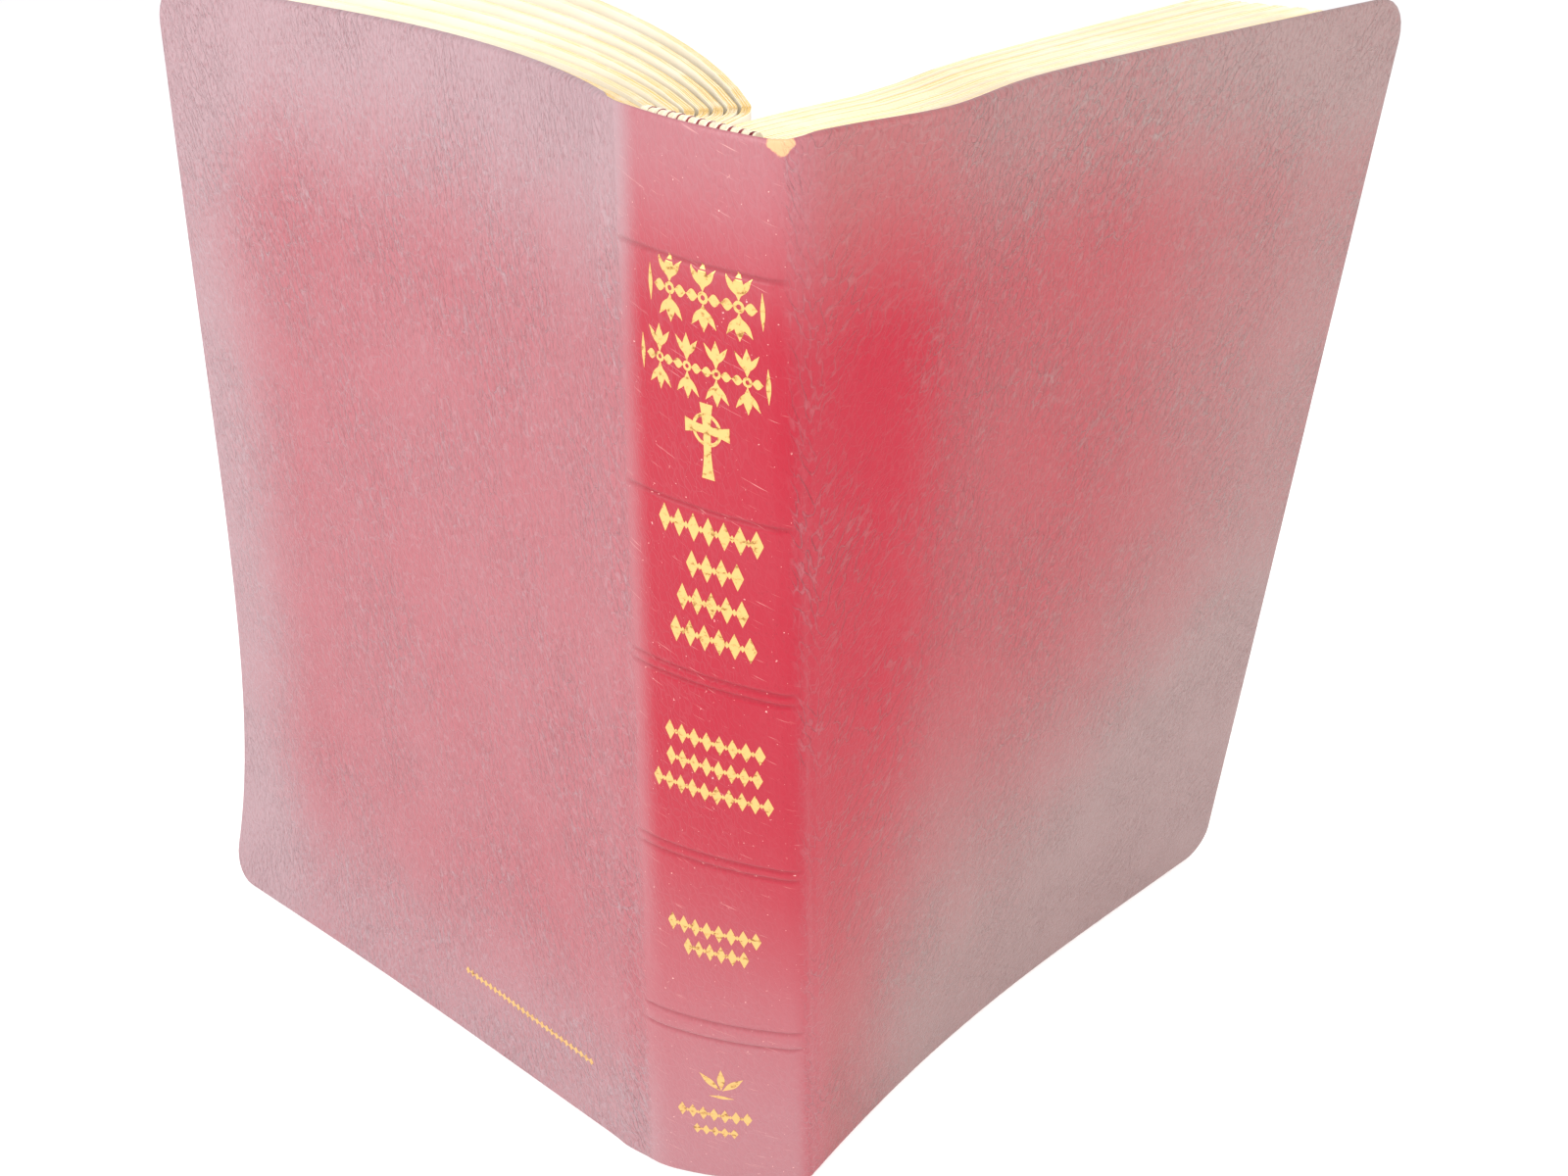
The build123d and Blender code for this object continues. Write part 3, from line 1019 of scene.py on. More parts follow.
def panel_edge(out, up, open_start, corner, end):
    """The border of a panel in order, with the direction in which each place is pushed out."""
    rows, columns = out.shape
    around = [(0, c) for c in range(columns)] + [(r, columns - 1) for r in range(1, rows)]
    around += [(rows - 1, c) for c in range(columns - 2, -1, -1)]
    around += [(r, 0) for r in range(rows - 2, 0, -1)]
    low, high = up[0, 0], up[-1, 0]
    pushes = []
    for r, c in around:
        if r in (0, rows - 1):
            push = (0.0, -1.0 if r == 0 else 1.0)
        elif c == columns - 1:
            push = (0.0, 0.0) if end is None else (1.0, 0.0)
            if corner and end is not None:
                centre_up = min(max(up[r, c], low + corner), high - corner)
                away = np.array([out[r, c] - (end - corner), up[r, c] - centre_up])
                push = tuple(away / np.linalg.norm(away))
        else:
            push = (0.0, 0.0) if open_start else (-1.0, 0.0)
        pushes.append(push)
    return around, np.array(pushes)


def closed_panel(out, up, around, pushes, rim, steps, place, outer, inner):
    """A closed thin panel: two sheets joined by a rounded rim.

    place maps (out, up, depth) to points; outer and inner give the depth of each sheet. Returns
    the points, the faces, each vertex's (out, up), and how many faces lie on the two sheets.
    """
    rows, columns = out.shape
    flat_out, flat_up = out.ravel(), up.ravel()
    sheets = [outer(flat_out, flat_up), inner(flat_out, flat_up)]
    points = [place(flat_out, flat_up, depth) for depth in sheets]
    where = [np.stack([flat_out, flat_up], -1)] * 2
    number = np.arange(rows * columns).reshape(rows, columns)
    faces = []
    for sheet in range(2):
        n = number + sheet * rows * columns
        faces += list(np.stack([n[:-1, :-1], n[:-1, 1:], n[1:, 1:], n[1:, :-1]], -1).reshape(-1, 4))
    sheet_faces = len(faces)
    border = np.array([number[r, c] for r, c in around])
    rings = [border]
    border_out, border_up = flat_out[border], flat_up[border]
    count = 2 * rows * columns
    for step in range(1, steps):
        turn = math.pi * step / steps
        ring_out = border_out + rim * math.sin(turn) * pushes[:, 0]
        ring_up = border_up + rim * math.sin(turn) * pushes[:, 1]
        share = (1 - math.cos(turn)) / 2
        depth = sheets[0][border] * (1 - share) + sheets[1][border] * share
        points.append(place(ring_out, ring_up, depth))
        where.append(np.stack([ring_out, ring_up], -1))
        rings.append(np.arange(count, count + len(border)))
        count += len(border)
    rings.append(border + rows * columns)
    for first, second in zip(rings, rings[1:]):
        faces += list(np.stack([first, np.roll(first, -1), np.roll(second, -1), second], -1))
    return np.concatenate(points), faces, np.concatenate(where), sheet_faces


SPINE_BEND = 3.4 * MM  # how much of the spine's edge may bend with a cover
spine_seam = half_spine - 3.6 * MM  # across, where the spine's length of leather meets a cover's


def joint_zone(side, before, after):
    """The start and end of the stretch that bends at a cover's joint."""
    joint = joints[f"{HALVES[side]}_cover_hinge"]
    axis, pivot = Vector(joint["axis"]), Vector(joint["pos_m"])
    outwards = Vector((*(-side * spine_across), 0.0))
    heading = into_heading + side * cover_opening[side]
    leaving = Vector((math.cos(heading), math.sin(heading), 0.0))
    way = (outwards + leaving).normalized()
    way = (way - way.dot(axis) * axis).normalized()
    return pivot - way * before, pivot + way * after


def binding_rows():
    """Heights of the rows of the leather: close together over each pressed line."""
    rows = set(np.round(np.linspace(0, cover_height, 121), 6))
    for line in pressed_lines:
        rows |= set(np.round(line * MM + np.linspace(-1.4, 1.4, 9) * MM, 6))
    rows = np.array(sorted(rows))
    closest = 0.2 * MM
    keep = np.concatenate([[True], np.diff(rows) > closest])
    return rows[keep]


def joint_blend(side, cover):
    """The stretch over which a cover's leather bends; the spine's part ends at the seam."""
    bend = cover.back_bend if side == 1 else cover.front_bend
    return joint_zone(side, min(bend, SPINE_BEND), bend)


def rows_of(low, high, corner, rows):
    """The rows of a panel with rounded corners, for a neighbour that meets it edge to edge."""
    return panel_grid(np.array([0.0, 1.0]), low, high, 1.0, corner, rows)[1][:, 0]


def sharpen_cap(mesh, where, on_cap):
    """Keep the shading of the skin clear of the cut edge where two lengths of it meet."""
    cap = on_cap(where)
    for polygon in mesh.polygons:
        if all(cap[v] for v in polygon.vertices):
            polygon.use_smooth = False
    shape = bmesh.new()
    shape.from_mesh(mesh)
    for edge in shape.edges:
        flat = [all(cap[v.index] for v in face.verts) for face in edge.link_faces]
        if any(flat) and not all(flat):
            edge.smooth = False
    shape.to_mesh(mesh)
    shape.free()


class BIBLE_OT_leather(bpy.types.Operator):
    """Cover the boards and spine in leather, in three lengths that meet beside the joints"""

    bl_idname = "bible.leather"
    bl_label = "Leather"

    def execute(self, context):
        cover = context.scene.bible_cover
        leather = bonded_leather(cover)
        rim = (cover.skin + cover.board) / 2
        rows = binding_rows()
        low, high = cad_low.z + rim, cad_high.z - rim
        corner = cover.corner - rim
        end = half_spine + cover_reach - rim
        start = spine_seam
        near_joint = np.arange(start, half_spine + 9 * MM, 0.45 * MM)
        beyond = np.linspace(near_joint[-1], end, 76)[1:]
        columns = np.concatenate([near_joint, beyond])
        for side, half in HALVES.items():
            out, up = panel_grid(columns, low, high, end, corner, rows)
            around, pushes = panel_edge(out, up, True, corner, end)
            points, faces, where, _ = closed_panel(
                out, up, around, pushes, rim, 8,
                lambda a, u, d: skin_point(side, a, u, d, cover),
                lambda a, u: outer_depth(side, a, u, cover),
                lambda a, u: inner_depth(a, cover),
            )
            where = where * np.array([-side, 1.0])
            mesh = mesh_from(f"{half}_leather_skin", points, faces, where)
            piece = new_piece(mesh.name, mesh, leather)
            sharpen_cap(mesh, where, lambda w: np.abs(w[:, 0]) < start + 1e-7)
            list(joint_blend(side, cover))
            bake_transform(piece)
            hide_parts(f"{half}_cover_leather", f"{half}_cover_card")

        columns = np.linspace(-start, start, 45)
        out, up = panel_grid(columns, low, high, rows=rows_of(low, high, corner, rows))
        around, pushes = panel_edge(out, up, True, 0, None)

        def place(a, u, d):
            both = [skin_point(side, np.abs(a), u, d, cover) for side in (1, -1)]
            return np.where((a < 0)[:, None], both[0], both[1])

        points, faces, where, _ = closed_panel(
            out, up, around, pushes, rim, 8, place,
            lambda a, u: np.where(a < 0, outer_depth(1, np.abs(a), u, cover),
                                  outer_depth(-1, np.abs(a), u, cover)),
            lambda a, u: inner_depth(np.abs(a), cover),
        )
        mesh = mesh_from("spine_leather_skin", points, faces, where)
        piece = new_piece(mesh.name, mesh, leather)
        sharpen_cap(mesh, where, lambda w: np.abs(w[:, 0]) > start - 1e-7)
        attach(piece, "spine")
        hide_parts("spine_leather")
        return {"FINISHED"}


class BIBLE_OT_endpapers(bpy.types.Operator):
    """Paste an endpaper inside each cover"""

    bl_idname = "bible.endpapers"
    bl_label = "Endpapers"

    def execute(self, context):
        cover = context.scene.bible_cover
        paper = fibrous(
            "endpaper, laid", linear("#ece2cb"), linear("#d9caa6"), 0.5 * MM, 0.7, 0.02 * MM
        )
        start, end, corner = half_spine + 5 * MM, half_spine + cover_reach - 4 * MM, 5 * MM
        low, high = cad_low.z + 4 * MM, cad_high.z - 4 * MM
        columns = np.concatenate([np.arange(start, start + 6 * MM, 0.5 * MM),
                                  np.linspace(start + 6 * MM, end, 60)])
        for side, half in HALVES.items():
            out, up = panel_grid(columns, low, high, end, corner, np.linspace(low, high, 80))
            around, pushes = panel_edge(out, up, False, corner, end)
            points, faces, where, _ = closed_panel(
                out, up, around, pushes, 0.08 * MM, 3,
                lambda a, u, d: skin_point(side, a, u, d, cover),
                lambda a, u: inner_depth(a, cover) - 0.1 * MM,
                lambda a, u: inner_depth(a, cover) + 0.16 * MM,
            )
            mesh = mesh_from(f"{half}_endpaper", points, faces, where)
            piece = new_piece(mesh.name, mesh, paper)
            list(joint_blend(side, cover))
            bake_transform(piece)
            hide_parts(f"{half}_pastedown")
        return {"FINISHED"}


LEAF_INSET = 4 * MM  # how far a leaf stops short of its cover's edge
GROUP_THICKNESS = 1.45 * MM
LINING_THICKNESS = 2.4 * MM  # the linings that stand between the sewn folds and the spine


class BIBLE_OT_leaves(bpy.types.Operator):
    """Stack the leaves: each group bends out of the sewn folds as separate gilt-edged sheets"""

    bl_idname = "bible.leaves"
    bl_label = "Leaves"

    def execute(self, context):
        leaves, cover = context.scene.bible_leaves, context.scene.bible_cover
        leaf_reach = cover_reach - LEAF_INSET
        paper, gilt = bible_paper(leaves, leaf_reach), gilt_edge(leaves)
        endpaper = bpy.data.materials["endpaper, laid"]
        draw = random.Random(11)
        for side, half in HALVES.items():
            for number in range(1, group_count + 1):
                group = group_mesh(side, half, number, leaves, cover, draw)
                piece = new_piece(f"{half}_sheets_{number}", group, paper, gilt)
                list(leaf_zone(side, half, number, leaves))
                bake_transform(piece)
                names = [f"{half}_leaves_{number}"]
                if number == 1:
                    names.append(f"{half}_sewn_folds")
                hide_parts(*names)
            fly = group_mesh(side, half, 1, leaves, cover, draw, flyleaf=True)
            piece = new_piece(f"{half}_free_endpaper", fly, endpaper, gilt)
            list(leaf_zone(side, half, 1, leaves))
            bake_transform(piece)
            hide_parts(f"{half}_flyleaf")
        return {"FINISHED"}


def leaf_heading(side, half, number):
    ratio = abs(fan_ratios[f"{half}_leaves_{number}_hinge"])
    return into_heading + side * ratio * cover_opening[side]


def leaf_zone(side, half, number, leaves):
    """The start and end of the stretch that bends where a group leaves the sewn folds."""
    joint = joints[f"{half}_leaves_{number}_hinge"]
    axis, pivot = Vector(joint["axis"]), Vector(joint["pos_m"])
    heading = leaf_heading(side, half, number)
    way = Vector((*into_book, 0.0)) + Vector((math.cos(heading), math.sin(heading), 0.0))
    way = (way - way.dot(axis) * axis).normalized()
    return pivot - way * leaves.bend * 0.6, pivot + way * leaves.bend


def group_mesh(side, half, number, leaves, cover, draw, flyleaf=False):
    """One group of sheets, or the free endpaper that lies on the outermost group."""
    joint = f"{half}_leaves_{number}_hinge"
    node = frame["nodes"][f"{half}_leaves_{number}"]
    base_reach = reach_past(node.name, joint)
    low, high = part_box(node.name)
    pitch = GROUP_THICKNESS / leaves.sheets
    all_points, all_faces, all_where, all_material = [], [], [], []
    count = 0
    for sheet in range(1 if flyleaf else leaves.sheets):
        if flyleaf:
            centre, thick = -(GROUP_THICKNESS / 2 + 0.12 * MM), 0.2 * MM
        else:
            centre, thick = -GROUP_THICKNESS / 2 + pitch * (sheet + 0.5), leaves.paper
        end = base_reach - draw.uniform(0, 0.45) * MM
        trim = draw.uniform(0, 0.25) * MM
        splay = (sheet / max(1, leaves.sheets - 1) - 0.5) * 0.5 * MM
        splay += draw.uniform(-0.06, 0.06) * MM
        bow_share = 1 - 0.28 * (number - 1 + sheet / leaves.sheets) / group_count
        if flyleaf:
            splay, bow_share = -0.3 * MM, 1.0
        columns = np.concatenate([
            [-3, -2], np.linspace(-1, 1, 9), np.linspace(1, end / leaves.bend, 13)[1:],
        ]) * leaves.bend
        rows = np.linspace(low.z + trim, high.z - trim, 11)
        out, up = panel_grid(columns, rows[0], rows[-1], end, leaves.corner, rows)

        def place(a, u, d):
            pivot = hinge_line(joint, u)
            heading = leaf_heading(side, half, number) + head_turn(side, u, cover)
            along = plan_direction(heading)
            inwards = turned(along, -side)
            root_inwards = np.broadcast_to(turned(into_book, -side), along.shape)
            bisector = inwards + root_inwards
            length = np.linalg.norm(bisector, axis=-1)[..., None]
            bisector = bisector / length
            elbow = pivot + bisector * (d * 2 / length[..., 0])[..., None]
            # The columns before the bend share out the way down to the spine lining
            joint_lean = (hinge_line(f"{half}_cover_hinge", u) - spine_middle) @ into_book
            inset = np.abs((pivot - spine_middle) @ spine_across) / half_spine
            lift = (pivot - spine_middle) @ into_book - LINING_THICKNESS - joint_lean * inset
            down = np.clip(-a / leaves.bend - 1, 0, 2) / 2
            sunk = leaves.bend + (lift - leaves.bend) * down
            root = np.minimum(a, 0) * (down == 0) - sunk * (down > 0)
            rooting = np.broadcast_to(into_book, along.shape)
            flat = elbow + rooting * root[..., None] + along * np.maximum(a, 0)[..., None]
            flat = flat + rounded_corner(rooting, along, leaves.bend, a)
            share = np.clip(a / end, 0, 1)
            bow = cover_bow(side, np.maximum(a, 0), u) * bow_share + splay * share ** 1.5
            plan = flat + inwards * bow[..., None] + spine_across * sideways_lean(u)[..., None]
            return np.concatenate([plan, u[..., None]], -1)

        around, pushes = panel_edge(out, up, False, leaves.corner, end)
        pushes[np.array([c == 0 for _, c in around])] = 0
        points, faces, where, on_sheet = closed_panel(
            out, up, around, pushes, 0.02 * MM, 2, place,
            lambda a, u: np.full_like(a, centre - thick / 2),
            lambda a, u: np.full_like(a, centre + thick / 2),
        )
        all_points.append(points)
        all_faces += [tuple(np.asarray(face) + count) for face in faces]
        all_where.append(where + np.array([cover_reach - LEAF_INSET - base_reach, 0.0]))
        all_material += [0] * on_sheet + [1] * (len(faces) - on_sheet)
        count += len(points)
    name = f"{half}_free_endpaper" if flyleaf else f"{half}_sheets_{number}"
    return mesh_from(name, np.concatenate(all_points), all_faces, np.concatenate(all_where),
                     "page", all_material)


# ----------------------------------------------------------------------------------------- repeats
def repeat_tree(name, inputs, build):
    """A Geometry Nodes tree with named inputs that ends in Realize Instances and Set Material."""
    tree = bpy.data.node_groups.new(name, "GeometryNodeTree")
    tree.interface.new_socket(name="Geometry", in_out="OUTPUT", socket_type="NodeSocketGeometry")
    for socket, kind in inputs.items():
        tree.interface.new_socket(name=socket, in_out="INPUT", socket_type=f"NodeSocket{kind}")
    given = add(tree, "NodeGroupInput").outputs
    repeats = build(tree, given)
    real = add(tree, "GeometryNodeRealizeInstances", {"Geometry": repeats}).outputs["Geometry"]
    finished = add(
        tree, "GeometryNodeSetMaterial", {"Geometry": real, "Material": given["Material"]}
    )
    add(tree, "NodeGroupOutput", {"Geometry": finished.outputs["Geometry"]})
    return tree


def grown(tree, values):
    """The plain mesh that a tree makes from its named values."""
    holder = bpy.data.objects.new("holder", bpy.data.meshes.new("holder"))
    bpy.context.scene.collection.objects.link(holder)
    modifier = holder.modifiers.new("repeat", "NODES")
    modifier.node_group = tree
    for item in tree.interface.items_tree:
        if item.in_out == "INPUT":
            modifier[item.identifier] = values[item.name]
    seen = bpy.context.evaluated_depsgraph_get()
    seen.update()
    mesh = bpy.data.meshes.new_from_object(holder.evaluated_get(seen), depsgraph=seen)
    holder.modifiers.remove(modifier)
    bpy.data.objects.remove(holder)
    return mesh


def build_lozenges(tree, given):
    """Flat lozenges in a row, centred on the row's middle."""
    lozenge = add(
        tree, "GeometryNodeMeshCylinder",
        {"Vertices": 4, "Radius": 0.5, "Depth": given["Thickness"]}, fill_type="NGON",
    ).outputs["Mesh"]
    size = add(
        tree, "ShaderNodeCombineXYZ", {"X": given["Width"], "Y": given["Height"], "Z": 1.0}
    ).outputs[0]
    half_row = add(
        tree, "ShaderNodeMath",
        [given["Pitch"], add(tree, "ShaderNodeMath", [given["Count"], 1.0], operation="SUBTRACT")],
        operation="MULTIPLY",
    )
    start_x = add(
        tree, "ShaderNodeMath",
        [given["Middle"], add(tree, "ShaderNodeMath", [half_row, 0.5], operation="MULTIPLY")],
        operation="SUBTRACT",
    )
    start = add(tree, "ShaderNodeCombineXYZ", {"X": start_x, "Y": given["Level"]}).outputs[0]
    step = add(tree, "ShaderNodeCombineXYZ", {"X": given["Pitch"]}).outputs[0]
    row = add(
        tree, "GeometryNodeMeshLine",
        {"Count": given["Count"], "Start Location": start, "Offset": step}, mode="OFFSET",
    ).outputs["Mesh"]
    return add(
        tree, "GeometryNodeInstanceOnPoints", {"Points": row, "Instance": lozenge, "Scale": size}
    ).outputs["Instances"]


LOZENGE_INPUTS = {
    "Count": "Int", "Pitch": "Float", "Width": "Float", "Height": "Float", "Thickness": "Float",
    "Middle": "Float", "Level": "Float", "Material": "Material",
}


def build_stitches(tree, given):
    """Silk stitches side by side over a band."""
    line = add(
        tree, "GeometryNodeCurvePrimitiveLine", {"Start": given["Start"], "End": given["End"]}
    )
    spaced = add(
        tree, "GeometryNodeResampleCurve",
        {"Curve": line.outputs["Curve"], "Length": given["Pitch"]}, mode="LENGTH",
    ).outputs["Curve"]
    bead = add(
        tree, "GeometryNodeMeshUVSphere", {"Segments": 8, "Rings": 6, "Radius": 0.5}
    ).outputs["Mesh"]
    return add(
        tree, "GeometryNodeInstanceOnPoints",
        {"Points": spaced, "Instance": bead, "Rotation": given["Turn"], "Scale": given["Stitch"]},
    ).outputs["Instances"]


STITCH_INPUTS = {
    "Start": "Vector", "End": "Vector", "Pitch": "Float", "Turn": "Vector", "Stitch": "Vector",
    "Material": "Material",
}


class BIBLE_OT_bands(bpy.types.Operator):
    """Sew the striped silk of the headband and tailband over their cores"""

    bl_idname = "bible.bands"
    bl_label = "Headband and tailband"

    def execute(self, context):
        bands = context.scene.bible_bands
        silks = [silk("silk, pale", bands.light), silk("silk, crimson", bands.dark)]
        tree = repeat_tree("band stitches", STITCH_INPUTS, build_stitches)
        for name in ("headband", "tailband"):
            vertices = frame["nodes"][name].data.vertices
            points = np.array([v.co for v in vertices], float)
            from_middle = points[:, :2] - spine_middle
            along, depth = from_middle @ spine_across, from_middle @ into_book
            height = (points[:, 2].min() + points[:, 2].max()) / 2
            thick = points[:, 2].max() - points[:, 2].min()
            ends = []
            for far in (along.min() + bands.stitch_pitch, along.max() - bands.stitch_pitch):
                close = np.abs(along - far) < 2.5 * MM
                here = depth[close] if close.any() else depth
                middle = (here.min() + here.max()) / 2
                ends.append(spine_middle + spine_across * far + into_book * middle)
            start, end = (np.append(plan, height) for plan in ends)
            way = (end - start) / np.linalg.norm(end - start)
            deep = depth.max() - depth.min()
            turn = (0.0, 0.0, math.atan2(way[1], way[0]))
            stitch = (
                bands.stitch_pitch * 1.04, min(deep, thick * 1.25) + 0.1 * MM, thick + 0.24 * MM
            )
            for colour, silk_material in enumerate(silks):
                mesh = grown(tree, {
                    "Start": tuple(start + way * bands.stitch_pitch * colour), "End": tuple(end),
                    "Pitch": 2 * bands.stitch_pitch, "Turn": turn, "Stitch": stitch,
                    "Material": silk_material,
                })
                mesh.polygons.foreach_set("use_smooth", [True] * len(mesh.polygons))
                piece = new_piece(f"{name}_silk_{colour + 1}", mesh)
                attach(piece, "spine")
        return {"FINISHED"}


class BIBLE_OT_linings(bpy.types.Operator):
    """Give the stiffener, linings, sewing and band cores their own finishes"""

    bl_idname = "bible.linings"
    bl_label = "Linings and sewing"

    def execute(self, context):
        band_core = silk("band core, cotton", linear("#d8ccb0"))
        finishes = {
            "spine_stiffener": fibrous(
                "grey board", linear("#9a958c"), linear("#7d776d"), 0.8 * MM, 0.85, 0.05 * MM),
            "kraft_lining": fibrous(
                "kraft paper", linear("#b08a5a"), linear("#96713f"), 0.6 * MM, 0.75, 0.03 * MM),
            "mull_cloth": woven(
                "mull, starched", linear("#ddd8c8"), 1.1 * MM, linear("#8d8672")),
            "sewing_thread": silk("linen thread, waxed", linear("#e6dcc2")),
            "headband": band_core,
            "tailband": band_core,
        }
        for name, finish in finishes.items():
            for slot in frame["nodes"][name].material_slots:
                slot.material = finish
        return {"FINISHED"}


# ------------------------------------------------------------------------------------ gold tooling
FOIL_ROOT = -0.12 * MM  # the foil's back is sunk this far below the leather


def stroke(path, widths, foil):
    """A flat ribbon of foil along a path, as closed geometry in (across, up, proud)."""
    path, widths = np.asarray(path, float), np.asarray(widths, float)
    ahead = np.gradient(path, axis=0)
    ahead /= np.linalg.norm(ahead, axis=1)[:, None]
    side = np.stack([-ahead[:, 1], ahead[:, 0]], -1) * widths[:, None] / 2
    left, right = path + side, path - side
    rings = []
    for border, proud in ((left, foil), (right, foil), (right, FOIL_ROOT), (left, FOIL_ROOT)):
        rings.append(np.column_stack([border, np.full(len(border), proud)]))
    points = np.stack(rings, 1).reshape(-1, 3)
    faces = []
    for at in range(len(path) - 1):
        for corner in range(4):
            following = (corner + 1) % 4
            here, ahead_of = 4 * at, 4 * at + 4
            faces.append((here + corner, here + following, ahead_of + following, ahead_of + corner))
    last = 4 * (len(path) - 1)
    faces += [(0, 1, 2, 3), (last, last + 1, last + 2, last + 3)]
    return points, faces


def swelling(count, thin, thick):
    """Widths of a stroke that swells in its middle."""
    return thin + (thick - thin) * np.sin(np.linspace(0, math.pi, count)) ** 1.4


def ring(middle, level, width, height, thickness, foil, points=28):
    """A closed line round an ellipse."""
    turn = np.linspace(0, 2 * math.pi, points + 1)
    x, y = np.cos(turn), np.sin(turn)
    outer = np.column_stack([middle + x * width / 2, level + y * height / 2])
    inner_w, inner_h = width / 2 - thickness, height / 2 - thickness
    inner = np.column_stack([middle + x * inner_w, level + y * inner_h])
    rings = []
    for border, proud in ((outer, foil), (inner, foil), (inner, FOIL_ROOT), (outer, FOIL_ROOT)):
        rings.append(np.column_stack([border[:-1], np.full(points, proud)]))
    made = np.stack(rings, 1).reshape(-1, 3)
    faces = []
    for at in range(points):
        here, after = 4 * at, 4 * ((at + 1) % points)
        for corner in range(4):
            following = (corner + 1) % 4
            faces.append((here + corner, here + following, after + following, after + corner))
    return made, faces


def blade(middle, level, length, width, heading, foil):
    """A pointed leaf of foil."""
    t = np.linspace(-0.5, 0.5, 11)
    run, rise = length * math.cos(heading), length * math.sin(heading)
    path = np.column_stack([middle + t * run, level + t * rise])
    return stroke(path, swelling(11, 0.08 * MM, width), foil)


def flower(middle, level, width, height, foil):
    """A lozenge-shaped flower: four leaves round a boss, with a small leaf between each two."""
    made = [ring(middle, level, width * 0.30, width * 0.30, width * 0.085, foil)]
    for heading in (0, 0.5, 1, 1.5):
        along, length = heading * math.pi, (width if heading in (0, 1) else height) / 2
        out = (0.15 * width + length) / 2
        made.append(blade(middle + out * math.cos(along), level + out * math.sin(along),
                          (length - 0.15 * width) * 1.04, width * 0.30, along, foil))
    for heading in (0.3, 0.7, 1.3, 1.7):
        along = heading * math.pi
        x = middle + 0.33 * width * math.cos(along)
        y = level + 0.36 * height * math.sin(along)
        made.append(blade(x, y, height * 0.36, width * 0.17, along, foil))
    return made


def cross(middle, level, height, foil):
    """A plain Latin cross with flared ends and a ring round its arms."""
    made = []
    flare = np.array([1.75, 1.25, 1.0, 1.0, 1.0, 1.25, 1.75]) * height * 0.11
    upright = np.linspace(-0.5, 0.5, 7) * height
    made.append(stroke(np.column_stack([np.full(7, middle), level + upright]), flare, foil))
    beam = np.linspace(-0.5, 0.5, 7) * height * 0.66
    arms = level + height * 0.16
    made.append(stroke(np.column_stack([middle + beam, np.full(7, arms)]), flare, foil * 1.15))
    made.append(ring(middle, arms, height * 0.44, height * 0.44, height * 0.045, foil * 1.3))
    return made


def joined(parts):
    """Several sets of points and faces as one."""
    points, faces, count = [], [], 0
    for some_points, some_faces in parts:
        points.append(some_points)
        faces += [tuple(int(v) + count for v in face) for face in some_faces]
        count += len(some_points)
    return np.concatenate(points), faces


# Blocks of lozenges in millimetres: middle, height above the tail, length, lozenge height, count
SPINE_ROWS = [
    (1.5, 171.2, 22.3, 5.6, 7), (2.4, 163.7, 12.4, 5.6, 4), (1.6, 156.3, 15.5, 5.6, 5),
    (1.4, 149.0, 18.7, 5.6, 6),
    (0.9, 125.6, 21.8, 4.6, 8), (0.6, 119.6, 21.0, 4.6, 8), (0.0, 113.4, 26.2, 4.6, 10),
    (-0.6, 77.0, 20.8, 4.8, 8), (-0.2, 71.2, 14.6, 4.8, 6),
    (-1.8, 21.4, 17.0, 4.2, 7), (-1.6, 16.0, 10.4, 3.2, 5),
]
TITLE_ROWS = [(2.0, 213.4, 21.0, 11.2, 3), (1.2, 201.0, 24.0, 11.2, 4)]  # the same, of flowers
BACK_ROW = (-58.9, 19.4, 47.0, 2.2, 27)


